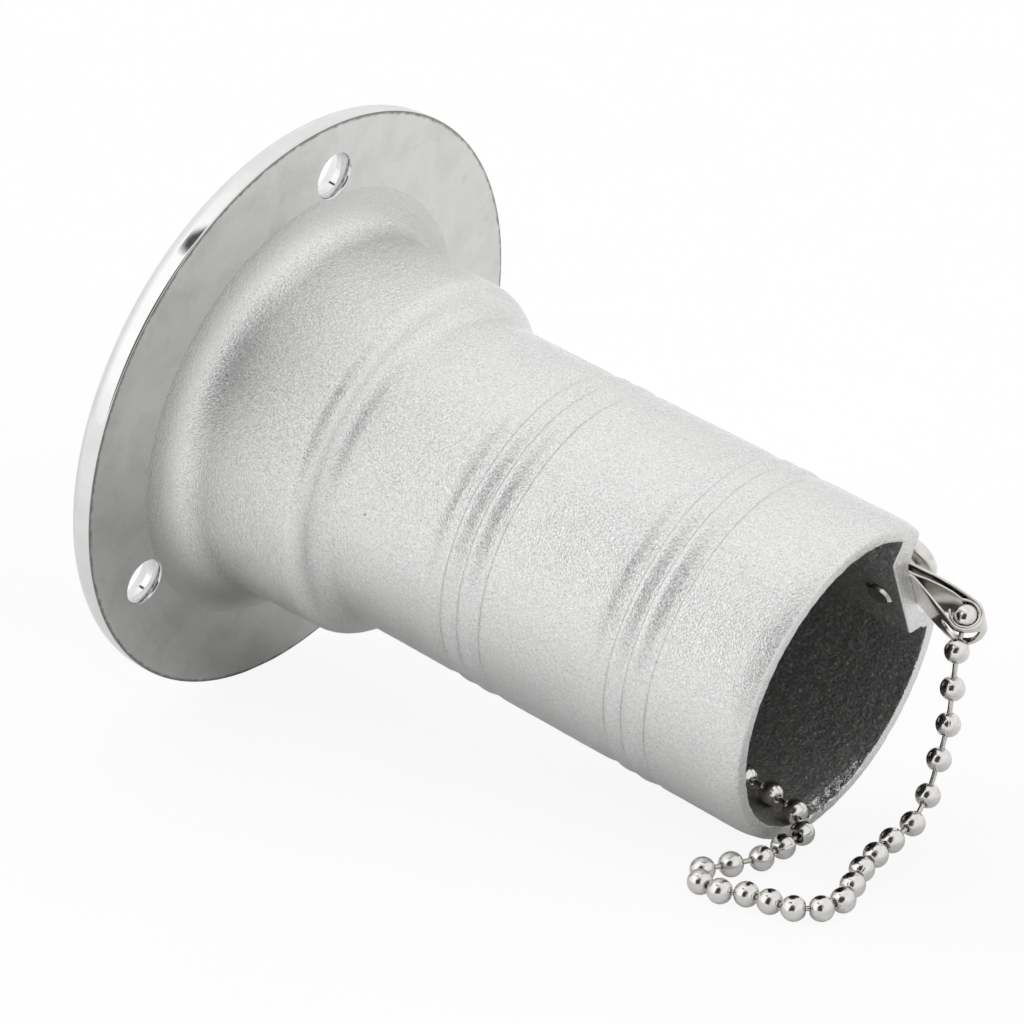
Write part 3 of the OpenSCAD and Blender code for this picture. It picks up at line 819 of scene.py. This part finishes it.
BEAD_R, BEAD_INNER_R = 1.85, 1.42
LAST_BEAD = 43
LIP_BEAD = 22          # the last bead outside the neck, at its lip
STRAND_END = 38        # the last bead lying along the bore
LIE_R = BORE_R - 1.9   # radius at which beads lie in the bore
STRAND_AZ = 254.5 * DEG


def on_bench(out, side, height):
    """Point measured from the lip: out past the mouth, sideways and up from the bench."""
    return LIP + out * BENCH_OUT + side * BENCH_SIDE + height * BENCH_UP


# (bead, out, side, height)
BENCH_KNOTS = [
    (1, 17.7, -11, 28.9), (2, 17.9, -9.9, 23.6), (3, 18, -8.9, 18.4), (4, 17.6, -7.4, 13.4),
    (5, 17.4, -5.1, 8.6), (6, 17.7, -0.7, 5.9), (7, 17.5, 4.4, 5.1), (9, 17.5, 12.1, 3.5),
    (11, 19.3, 19.6, 2.1), (12, 18.2, 23.3, 1.9), (13, 15.1, 25.6, 1.9), (15, 7.4, 25.8, 1.9),
    (16, 3.9, 27.2, 1.9), (17, 0, 26.4, 1.9), (18, -2, 22.9, 1.9), (20, 2.5, 14.8, 1.9),
    (LIP_BEAD, 3.5, 6, 2.9)]
KNOTS = [(0, recess_point(RECESS_FLOOR + LOOP_Z, -1.3, SCREW_Z - REACH))]
KNOTS += [(bead, on_bench(*place)) for bead, *place in BENCH_KNOTS]


def knot_slope(k):
    before, after = KNOTS[max(k - 1, 0)], KNOTS[min(k + 1, len(KNOTS) - 1)]
    return (after[1] - before[1]) / (after[0] - before[0])


def strand_z(i):
    """Beads in the bore are spaced by 4.4 and 5.2 in turn."""
    return -90.3 + 4.4 * math.ceil((i - 25) / 2) + 5.2 * math.floor((i - 25) / 2)


def bead_at(i):
    if i < LIP_BEAD:
        # cubic curve through the knots
        k = max(j for j in range(len(KNOTS) - 1) if i >= KNOTS[j][0])
        (first, start), (last, end) = KNOTS[k], KNOTS[k + 1]
        span = last - first
        t = (i - first) / span
        return ((2 * t ** 3 - 3 * t * t + 1) * start
                + (t ** 3 - 2 * t * t + t) * span * knot_slope(k)
                + (3 * t * t - 2 * t ** 3) * end
                + (t ** 3 - t * t) * span * knot_slope(k + 1))
    if i == LIP_BEAD:
        return KNOTS[-1][1]
    if i == 23:
        return polar(LIE_R, 261.2 * DEG, -100.7)
    if i == 24:
        return polar(LIE_R, 256.9 * DEG, -95.5)
    if i <= STRAND_END:
        return polar(LIE_R, STRAND_AZ, strand_z(i))
    # from the wall of the bore to the cap's clasp
    t = (i - STRAND_END) / 5
    z = strand_z(STRAND_END)
    radius = (LIE_R + (REACH - LIE_R) * (3 * t * t - 2 * t ** 3)
              + 1.2 * math.sin(math.pi * t) * (1 - t))
    return polar(radius, STRAND_AZ, z + (CAP_CLASP_Z + LOOP_Z - z) * t)


BEADS = [bead_at(i) for i in range(LAST_BEAD + 1)]


# ---------------------------------------------------------------- beads and pins
def bead_hole(widen):
    """Lipped hole: its points, and the angles where it meets the inner and outer spheres."""
    radius = 0.50 + widen
    inner_angle = math.asin(radius / BEAD_INNER_R)
    outer_angle = math.asin((0.773 + widen) / BEAD_R)
    low, high = BEAD_INNER_R * math.cos(inner_angle), BEAD_R * math.cos(outer_angle)
    # (extra radius, share of the wall)
    lip = [(0, 0.45), (0.015, 0.70), (0.06, 0.86), (0.14, 0.95)]
    points = [(radius, low)] + [(radius + out, low + share * (high - low)) for out, share in lip]
    return points, inner_angle, outer_angle


def sphere_point(radius, angle):
    return radius * math.sin(angle), radius * math.cos(angle)


def bead_profile(i):
    """(radius, z) outline of a hollow bead, with z towards the next bead."""
    forward, back = i < LAST_BEAD, i > 0
    top, inner_top, outer_top = bead_hole(0.40 if i == 0 else 0.0)
    bottom, inner_bottom, outer_bottom = bead_hole(0.45 if i == LIP_BEAD else 0.0)
    solid_end = [(0.0, BEAD_R), (0.30, 1.8255), (0.55, 1.766)]

    def inside(start, end, steps):
        return [sphere_point(BEAD_INNER_R, start - (start - end) * j / 7) for j in steps]

    profile = []
    if not forward:
        top, outer_top = solid_end, 24 * DEG
    if not back:
        bottom, outer_bottom = solid_end, 24 * DEG
        profile = inside(math.pi, inner_top, range(7))
    profile += top
    steps = 22
    for j in range(steps + 1):
        angle = outer_top + (math.pi - outer_top - outer_bottom) * j / steps
        profile.append(sphere_point(BEAD_R, angle))
    profile += [(radius, -z) for radius, z in bottom[::-1]]
    if forward and back:
        profile += inside(math.pi - inner_bottom, inner_top, range(1, 7))
    elif not forward:
        profile += inside(math.pi - inner_bottom, 0, range(1, 7)) + [(0.0, BEAD_INNER_R)]
    return profile


def bead_mesh(i):
    """Rolled hollow bead, bent so that its holes face its neighbours, with a closing seam."""
    centre = BEADS[i]
    ahead = BEADS[i + 1] - centre if i < LAST_BEAD else centre - BEADS[i - 1]
    behind = BEADS[i - 1] - centre if i > 0 else centre - BEADS[i + 1]
    ahead = ahead / np.linalg.norm(ahead)
    behind = behind / np.linalg.norm(behind)
    axis = ahead - behind
    axis /= np.linalg.norm(axis)
    bend = math.acos(max(-1, min(1, float(axis @ ahead))))
    hinge = np.cross(axis, ahead)
    length = np.linalg.norm(hinge)
    axes = axes_along(axis)
    hinge = hinge / length if length > 1e-6 else axes[:, 0]
    roll = float(noise.cell_vector(Vector((i * 3.7, 1.3, 0.5)))[0]) * math.pi * 2
    segs = 30
    # the seam lies at angle 0, between two extra lines
    angles = [2 * math.pi * s / segs for s in range(segs)] + [-3.0 * DEG, 3.0 * DEG]
    angles = sorted(a % (2 * math.pi) for a in angles)
    verts, rows = [], []
    for radius, z in bead_profile(i):
        if radius < 1e-6:
            rows.append([len(verts)] * len(angles))
            ring = [(0.0, 0.0, z)]
        else:
            rows.append(list(range(len(verts), len(verts) + len(angles))))
            ring = []
            for a in angles:
                groove = 0.030 if (a < 1e-6 and math.hypot(radius, z) > 1.8) else 0.0
                shrink = 1.0 - groove / BEAD_R
                ring.append((radius * shrink * math.cos(a + roll),
                             radius * shrink * math.sin(a + roll), z * shrink))
        for point in ring:
            v = axes @ np.array(point)
            length = np.linalg.norm(v)
            turn = bend * float(v @ axis) / length
            v = (v * math.cos(turn) + np.cross(hinge, v) * math.sin(turn)
                 + hinge * float(hinge @ v) * (1 - math.cos(turn)))
            if length > 1.8:
                v = v * (1 + 0.006 * noise.noise(Vector(v * 0.9 + i * 5.1)))
            verts.append(tuple(v + centre))
    return solid("bead", verts, lathe_faces(rows, closed=0 < i < LAST_BEAD))


def pin_mesh(i, slack=0.0):
    """Link pin between two beads: wire with a riveted head inside each."""
    start, end = BEADS[i], BEADS[i + 1]
    head_at, wire_r, head_r = 0.92, 0.40, 0.47
    profile = [(0, head_at - head_r)]
    profile += [(head_r * math.sin(t * DEG), head_at - head_r * math.cos(t * DEG))
                for t in (25, 50, 75, 100, 122)]
    profile += [(wire_r + 0.02, head_at + 0.42)]
    between = float(np.linalg.norm(end - start)) - 2 * head_at + slack
    for j in range(9):
        t = j / 8
        profile.append((wire_r - 0.035 * math.sin(math.pi * t) ** 2
                        + 0.006 * math.sin(17 * t + i),
                        head_at + 0.5 + (between - 1.0) * t))
    far = head_at + between
    profile += [(wire_r + 0.02, far - 0.42)]
    profile += [(head_r * math.sin(t * DEG), far - head_r * math.cos(t * DEG))
                for t in (58, 80, 105, 130, 155)]
    profile += [(0, far + head_r)]
    return lathe("pin", profile, 20, start, axes_along(end - start))


def chain_beads(node, body, first, last):
    beads = [bead_mesh(i) for i in range(first, last + 1)]
    finish(join(beads, node + "_rolled"), "bead", 50, body, node)


def chain_pins(node, body, first, last, end_slack=0.0):
    """Pins first to last; the last one is longer by end_slack."""
    pins = [pin_mesh(i, end_slack if i == last else 0.0) for i in range(first, last + 1)]
    finish(join(pins, node + "_wire"), "pin", 50, body, node)


LINK_SLACK = 0.8
chain_beads("clasp_bead", "clasp_end", 0, 0)
chain_beads("hanging_beads", "chain_loop", 1, 7)
chain_pins("hanging_pins", "chain_loop", 0, 6)
chain_beads("lying_beads", "chain_loop", 8, 21)
chain_pins("lying_pins", "chain_loop", 7, 21)
chain_beads("lip_beads", "neck_fixed", LIP_BEAD, 25)
chain_pins("lip_pins", "neck_fixed", LIP_BEAD, 25, LINK_SLACK)
for strand in range(6, 0, -1):
    low = 26 + 2 * (6 - strand)
    chain_beads(f"strand_{strand}_beads", f"strand_{strand}", low, low + 1)
    chain_pins(f"strand_{strand}_pins", f"strand_{strand}", low, low + 1, LINK_SLACK)
chain_beads("cap_strand_beads", "cap_side_chain", STRAND_END, 42)
chain_pins("cap_strand_pins", "cap_side_chain", STRAND_END, 42)
chain_beads("cap_clasp_bead", "cap_side_chain", LAST_BEAD, LAST_BEAD)

# ---------------------------------------------------------------- clasps
# stations along a lug, from its round end
LUG_X = [-3.68, -3.6, -3.4, -3.1, -2.7, -2.1, -1.4, -0.7, 0.0, 1.0, 2.0, 3.0, 4.0]
# half width of the strip past the screw: x, and half width there
LEAF_X = [0, 8.2, 9.7, 11.2, 12.4, 13.6, 15.2, 16.8]
LEAF_HALF = [LUG_R, LUG_R, 3.52, 3.22, 2.75, 2.25, 1.92, 1.7]


def strip_half_width(x):
    """Round lugs, a broad leaf, and a narrow loop."""
    if x < 0:
        return max(0.35, math.sqrt(max(0.0, LUG_R ** 2 - x * x)))
    return float(np.interp(x, LEAF_X, LEAF_HALF))


def strip_section(half_width, half_thick, corner):
    """Rounded rectangle, with points across its two broad faces."""
    outline = []
    for side_x, side_y, start in ((1, 1, 0), (-1, 1, 90), (-1, -1, 180), (1, -1, 270)):
        for turn in (0, 30, 60, 90):
            angle = (start + turn) * DEG
            outline.append((side_x * (half_width - corner) + corner * math.cos(angle),
                            side_y * (half_thick - corner) + corner * math.sin(angle)))
    section = []
    for j, point in enumerate(outline):
        section.append(point)
        if j in (3, 11):
            end = outline[j + 1]
            section += [(point[0] + (end[0] - point[0]) * f, point[1] + (end[1] - point[1]) * f)
                        for f in (0.25, 0.5, 0.75)]
    return section


def clasp_strip(name, path, thick, corner, trim=0.0):
    """Strip along a centre line in the x-z plane; its width runs along y."""
    line = np.array(path, float)
    n = len(line)
    verts = []
    for i in range(n):
        arriving = line[i] - line[i - 1] if i > 0 else line[1] - line[0]
        leaving = line[i + 1] - line[i] if i < n - 1 else line[-1] - line[-2]
        along = arriving / np.linalg.norm(arriving) + leaving / np.linalg.norm(leaving)
        along /= np.linalg.norm(along)
        across = np.array([-along[1], along[0]])
        half = strip_half_width(line[i][0]) - trim
        for y, height in strip_section(half, thick / 2, corner):
            x, z = line[i] + across * height
            verts.append((x, y, z))
    return solid(name, verts, tube_faces(n, len(verts) // n))


def build_clasp(name, node, body, axes, origin):
    mid_r = CLASP_R - SHEET / 2
    leaf_z = 0.05 + SHEET / 2
    # the lower leaf drops to touch the loop, which turns back into the upper lug
    bend = np.array([4.4, leaf_z])
    to_loop = np.array([REACH, LOOP_Z]) - bend
    touch = (math.degrees(math.atan2(to_loop[1], to_loop[0]))
             - math.degrees(math.asin(mid_r / np.linalg.norm(to_loop))) - 90)
    touch_x = REACH + mid_r * math.cos(touch * DEG)
    touch_z = LOOP_Z + mid_r * math.sin(touch * DEG)
    lower = [(x, leaf_z) for x in LUG_X]
    lower += [(4.3, leaf_z - 0.01), (4.6, leaf_z - 0.06), (4.9, leaf_z - 0.16)]
    lower += [(4.9 + (touch_x - 4.9) * t, leaf_z - 0.16 + (touch_z - leaf_z + 0.16) * t)
              for t in (0.2, 0.4, 0.6, 0.8)]
    upper = [(x, LUG_GAP + SHEET / 2) for x in [12, 10, 8, 6] + LUG_X[::-1]]
    path = lower + arc(REACH, LOOP_Z, mid_r, touch, 90, 40) + upper
    clasp = clasp_strip(name, path, SHEET, corner=0.13)
    # inner end of the strip: along the lower leaf and round the bead as a cup
    cup = [(x, 0.74) for x in LUG_X] + [(4.6, 0.76), (6.4, 0.96), (8.5, 1.08), (10.5, 1.15)]
    cup += arc(REACH, LOOP_Z, CLASP_R - SHEET - 0.19, 132, -158, 44)
    boolean(clasp, clasp_strip("cup", cup, 0.36, corner=0.11, trim=0.06), "UNION")
    boolean(clasp, cylinder("hole", 2.35, (0, 0, -1), (0, 0, 6), 64))
    # slot for the chain's first link
    slot_r, slot_y = 1.3, -0.05
    outline = [(x + slot_r * math.cos(a * DEG), slot_y + slot_r * math.sin(a * DEG))
               for x, angles in ((-1.8, range(90, 271, 15)), (1.4, range(-90, 91, 12)))
               for a in angles]
    boolean(clasp, extrusion("slot", *([(REACH + x, y, LOOP_Z - drop) for x, y in outline]
                                       for drop in (4.2, 0.25))))
    tidy(clasp)
    move_to(clasp, axes, origin)
    finish(clasp, "strip", 32, body, node)


# ---------------------------------------------------------------- screws
SCREW_PITCH = 0.8
SCREW_CORE_R, SCREW_CREST_R = 1.92, 2.25


def screw_head(name, seat, radius):
    """Round head with a cross recess; seat is the height of its flat face."""
    profile = [(0, seat + 3.1)]
    profile += [(radius * math.sin(a * DEG), seat + 0.7 + 2.4 * math.cos(a * DEG))
                for a in (6, 14, 24, 34, 44, 54, 63, 71, 78, 84, 88)]
    profile += [(radius, seat + 0.55), (radius, seat + 0.32), (radius - 0.05, seat + 0.14),
                (radius - 0.18, seat + 0.03), (radius - 0.4, seat)]
    # the flat face and a plain neck above the thread
    profile += [(3.2, seat), (2.6, seat - 0.02), (2.28, seat - 0.12), (2.18, seat - 0.35),
                (2.1, seat - 0.6), (2.1, seat - 1.2), (0, seat - 1.2)]
    head = lathe(name, profile, 72)
    half_width, half_length, depth = 0.55, 2.5, 1.9
    floor = seat + 3.1 - depth
    corners = [(x, y, z)
               for x, z in ((-half_length, seat + 3.6), (-0.9, floor), (0.9, floor),
                            (half_length, seat + 3.6))
               for y in (-half_width, half_width)]
    faces = [(0, 2, 3, 1), (2, 4, 5, 3), (4, 6, 7, 5), (6, 0, 1, 7), (0, 6, 4, 2), (1, 3, 5, 7)]
    crossed = [(-y, x, z) for x, y, z in corners]
    for cutter in (corners, crossed):
        boolean(head, solid("cross", cutter, faces, smooth=False))
    return head


def screw_thread(tip_z, top_z):
    """Core with a helical crest, chamfered at the tip."""
    segs = 40
    n = int((top_z - tip_z) / (SCREW_PITCH / 8))
    verts, rows = [], []
    for j in range(n + 1):
        z = tip_z + (top_z - tip_z) * j / n
        rows.append(list(range(len(verts), len(verts) + segs)))
        for s in range(segs):
            angle = 2 * math.pi * s / segs
            phase = ((z - tip_z) / SCREW_PITCH - angle / (2 * math.pi)) % 1.0
            crest = 1 - abs(2 * phase - 1)
            crest = min(1.0, max(0.0, (crest - 0.12) / 0.72))
            radius = SCREW_CORE_R + (SCREW_CREST_R - SCREW_CORE_R) * crest
            radius = min(radius, 1.75 + (z - tip_z) * 1.1)
            verts.append((radius * math.cos(angle), radius * math.sin(angle), z))
    bottom = len(verts)
    verts += [(0, 0, tip_z), (0, 0, top_z)]
    return solid("thread", verts, lathe_faces([[bottom] * segs] + rows + [[bottom + 1] * segs]))


def build_screw(name, node, body, axes, origin, tip, seat, head_radius):
    """Round-head screw along z; tip is how far it reaches below the frame's origin."""
    head = screw_head(name, seat, head_radius)
    screw = join([head, screw_thread(-tip, seat - 0.9)], name)
    move_to(screw, axes, origin)
    finish(screw, "screw", 35, body, node)


# the neck clasp's frame: x away from the mouth's plane towards -Z, y along the wall, z outwards
neck_axes = np.stack([np.array([0, 0, -1.0]), RECESS_ALONG, RECESS_OUT], 1)
neck_origin = recess_point(RECESS_FLOOR, 0, SCREW_Z)
# the cap clasp's frame: x out from the neck's axis, z along it
cap_axes = np.stack([polar(1.0, STRAND_AZ, 0), tangent(STRAND_AZ), np.array([0, 0, 1.0])], 1)
cap_origin = np.array([0, 0, CAP_CLASP_Z])
build_clasp("neck_strip_clasp", "neck_clasp", "neck_clasp_swivel", neck_axes, neck_origin)
build_clasp("cap_strip_clasp", "cap_clasp", "cap_side_chain", cap_axes, cap_origin)
build_screw("neck_round_head_screw", "neck_chain_screw", "neck_fixed", neck_axes, neck_origin,
            tip=RECESS_FLOOR - BOSS_FACE + 0.5, seat=3.7, head_radius=4.95)
head_down = np.diag([1.0, -1.0, -1.0])
build_screw("cap_round_head_screw", "cap_chain_screw", "cap_assembly", cap_axes @ head_down,
            cap_origin + np.array([0, 0, -0.25]), tip=6.5, seat=0.0, head_radius=4.0)

# ---------------------------------------------------------------- cap and its ring
CAP_R = 27.9
CAP_ROUND = 0.45
# (radius, z)
KEY_HOLE = [(0, 2.9), (2.15, 2.9), (2.3, 3.1), (2.3, 6.55), (2.4, 6.72), (2.62, 6.86),
            (3.0, 7.05), (3.4, 7.8), (0, 7.8)]


def cap_profile():
    """(radius, z) outline: over the crowned top, down the threaded skirt, back to the boss."""
    radii = [27.35 * i / 23 for i in range(24)]
    points = [(radius, 6.95 - 0.35 * (radius / CAP_R) ** 2) for radius in radii]
    points += arc(CAP_R - CAP_ROUND, 6.15, CAP_ROUND, 80, 0, 6)
    points += [(CAP_R, 5.6), (CAP_R, 4.0), (CAP_R, 2.75), (27.84, 2.58), (27.7, 2.5),
               (26.5, 2.5), (25.45, 2.5), (25.35, 2.4), (25.35, -0.9), (24.35, -1.6),
               (24.3, -1.7)]
    points += resample([(24.3, -2.2), (24.3, -11.8)], 0.8)
    points += [(24.2, -12.05), (23.8, -12.4), (20.9, -12.4), (20.5, -12.2), (20.4, -11.9)]
    points += resample([(20.4, -11.0), (20.4, 0.4)], 1.2)
    points += [(20.3, 0.95), (19.9, 1.4), (19.3, 1.6), (12.0, 1.6), (5.2, 1.6), (4.5, 1.4),
               (4.2, 0.8), (4.2, -3.75), (3.95, CAP_BOSS_Z), (2.0, CAP_BOSS_Z),
               (0, CAP_BOSS_Z)]
    return points


def build_cap():
    cap = lathe("screw_in_cap", cap_profile(), 256)
    ridge = thread_ridge("cap_thread", root_radius=24.0, crest_radius=25.55, root_half=0.97,
                         z=THREAD_Z + THREAD_PITCH, sweep=820, step=6.0)
    boolean(cap, ridge, "UNION")
    for side in (-1, 1):
        boolean(cap, lathe("key_hole", KEY_HOLE, 56, (side * 12.5, 0, 0), smooth=False))
    boolean(cap, cylinder("cap_tapped", 2.3, (0, 0, -5), (0, 0, 0.2), 48))
    tidy(cap)
    finish(cap, "polish", 35, "cap_assembly", "fill_cap")


def build_o_ring():
    ring_r, ring_z, section_r = 26.45, 1.45, 1.03
    flash = 0.02    # two faint mould ridges, on the inner and outer line
    rings, size = ((160, 28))
    verts = []
    for i in range(rings):
        angle = 2 * math.pi * i / rings
        for j in range(size):
            turn = 2 * math.pi * j / size
            thick = section_r - flash + flash * math.exp(-(math.sin(turn) / 0.10) ** 2)
            radius = ring_r + thick * math.cos(turn)
            verts.append((radius * math.cos(angle), radius * math.sin(angle),
                          ring_z + thick * math.sin(turn)))
    ring = solid("moulded_o_ring", verts, tube_faces(rings, size, looped=True))
    set_materials(ring, "rubber")
    register(ring, "cap_assembly", "cap_o_ring")


build_cap()
build_o_ring()


# ---------------------------------------------------------------- studio
def build_world():
    """White to the camera; to the metal, a bright room with soft boxes and dark gaps."""
    world = bpy.data.worlds.new("studio")
    bpy.context.scene.world = world
    sky = Shading(world, "OutputWorld")
    direction = sky.add("TexCoord").outputs["Generated"]
    x, y, z = sky.split(direction)
    # azimuth round the neck's axis, and elevation towards +Z
    sky_azimuth = sky.math("ARCTAN2", y, x)
    sky_elevation = sky.math("ARCSINE", z)

    def patch(azimuth, elevation, width, height, inner, outer, power):
        """Ellipse of directions in degrees: power within inner, 0 beyond outer."""
        across = sky.math("SUBTRACT", sky_azimuth, azimuth * DEG)
        across = sky.math("WRAP", across, math.pi, -math.pi)
        across = sky.math("MULTIPLY", across, sky.math("COSINE", sky_elevation))
        across = sky.math("DIVIDE", across, width * DEG)
        above = sky.math("SUBTRACT", sky_elevation, elevation * DEG)
        above = sky.math("DIVIDE", above, height * DEG)
        distance = sky.math("SQRT", sky.math("ADD", sky.math("MULTIPLY", across, across),
                                             sky.math("MULTIPLY", above, above)))
        return sky.remap(distance, span=(inner, outer), to=(power, 0.0))

    # the dark room between the soft boxes, and a narrow dark gap beside the key light
    dark = patch(azimuth=8, elevation=-9, width=38, height=25, inner=0.72, outer=1.18, power=0.95)
    gap = patch(azimuth=45, elevation=26, width=6.5, height=17, inner=0.6, outer=1.0, power=0.92)
    # general light by height over the bench; the vector points straight up from it
    height = sky.vector_math("DOT_PRODUCT", direction, (0.3216, 0.9210, 0.2200), output="Value")
    lift = sky.ramp(sky.remap(height, span=(-1.0, 1.0), to=(0.0, 1.0)),
                    [(0.0, 0.66), (0.42, 0.80), (0.55, 0.90), (0.72, 1.0), (1.0, 0.93)])
    key = patch(azimuth=60, elevation=30, width=30, height=30, inner=0.3, outer=1.4, power=0.16)
    side = patch(azimuth=190, elevation=-28, width=60, height=40, inner=0.5, outer=1.3, power=0.10)
    front = patch(azimuth=0, elevation=22, width=50, height=42, inner=0.4, outer=1.25, power=0.30)
    light = sky.math("ADD", sky.math("ADD", lift, key), front)
    light = sky.math("MULTIPLY", light, sky.math("SUBTRACT", 1.0, side))
    shade = sky.math("SUBTRACT", 1.0, sky.math("MAXIMUM", dark, gap))
    light = sky.math("MULTIPLY", light, shade)
    room = sky.node("Background", {"Color": (1, 1, 1), "Strength": light})
    white = sky.node("Background", {"Color": (1, 1, 1), "Strength": 1.0})
    to_camera = sky.add("LightPath").outputs["Is Camera Ray"]
    sky.feed(sky.output.inputs[0], sky.mix_shader(to_camera, room, white))


build_world()

# the pale bench the fitting lies on
BENCH_NORMAL = np.array([0.32161436, 0.92096208, 0.2199842])
BENCH_POINT = np.array([-15.758, -45.124, 0.985])
BENCH_SIZE = 3000.0
BENCH_CELLS = 24
# the line the fitting rests on: a point and a direction
REST_POINT = (-15.76, -45.12, 0.0)
REST_RUN = np.array([7.6, 21.7, -101.1])


def bench_material():
    """Nearly white to the camera, diffuse with a faint glow to the rest, clear from below."""
    look = Surface("pale_bench")
    colour = look.ramp(look.noise(scale=0.05), [(0.3, 0.80), (0.7, 0.83)])
    diffuse = look.node("BsdfDiffuse", {0: colour})
    # light bounced onto the bench, less so close to the line the fitting rests on
    run = tuple(REST_RUN / np.linalg.norm(REST_RUN))
    offset = look.vector_math("SUBTRACT", look.coords, REST_POINT)
    along = look.vector_math("DOT_PRODUCT", offset, run, output="Value")
    length = look.vector_math("LENGTH", offset, output="Value")
    away = look.math("SUBTRACT", look.math("MULTIPLY", length, length),
                     look.math("MULTIPLY", along, along))
    away = look.math("SQRT", look.math("MAXIMUM", away, 0.0))
    fill = look.ramp(look.math("DIVIDE", away, 200.0),
                     [(0.03, 0.0), (0.06, 0.04), (0.14, 0.09), (0.30, 0.13), (0.7, 0.24)])
    glow = look.node("Emission", {"Strength": fill})
    lit = look.node("AddShader", {0: diffuse, 1: glow})
    white = look.node("Emission", {"Strength": 1.0})
    to_camera = look.add("LightPath").outputs["Is Camera Ray"]
    top = look.mix_shader(look.math("MULTIPLY", to_camera, 0.90), lit, white)
    from_below = look.add("NewGeometry").outputs["Backfacing"]
    clear = look.node("BsdfTransparent", {})
    look.feed(look.output.inputs[0], look.mix_shader(from_below, top, clear))
    return look.material


def build_bench():
    axes = axes_along(BENCH_NORMAL)
    row = BENCH_CELLS + 1
    verts = [BENCH_POINT + axes[:, 0] * (i / BENCH_CELLS - 0.5) * BENCH_SIZE
             + axes[:, 1] * (j / BENCH_CELLS - 0.5) * BENCH_SIZE
             for i in range(row) for j in range(row)]
    corners = [i * row + j for i in range(BENCH_CELLS) for j in range(BENCH_CELLS)]
    faces = [(c, c + row, c + row + 1, c + 1) for c in corners]
    bench = mesh_object("bench", verts, faces)
    bench.data.materials.append(bench_material())


build_bench()

# ---------------------------------------------------------------- camera
camera_data = bpy.data.cameras.new("camera")
camera = bpy.data.objects.new("camera", camera_data)
bpy.context.scene.collection.objects.link(camera)
# columns: the camera's right, up and backward directions, and its place in metres
camera.matrix_world = Matrix([
    [-0.51525345, 0.02859473, 0.85656069, 0.51576815],
    [0.36561248, 0.91127056, 0.18950853, 0.11401169],
    [-0.7751396, 0.4108142, -0.47998989, -0.33005785],
    [0, 0, 0, 1]])
camera_data.sensor_width = 36
camera_data.lens = 142.24
camera_data.clip_start = 0.01
camera_data.clip_end = 20
bpy.context.scene.camera = camera
bpy.context.scene.view_settings.view_transform = "Standard"
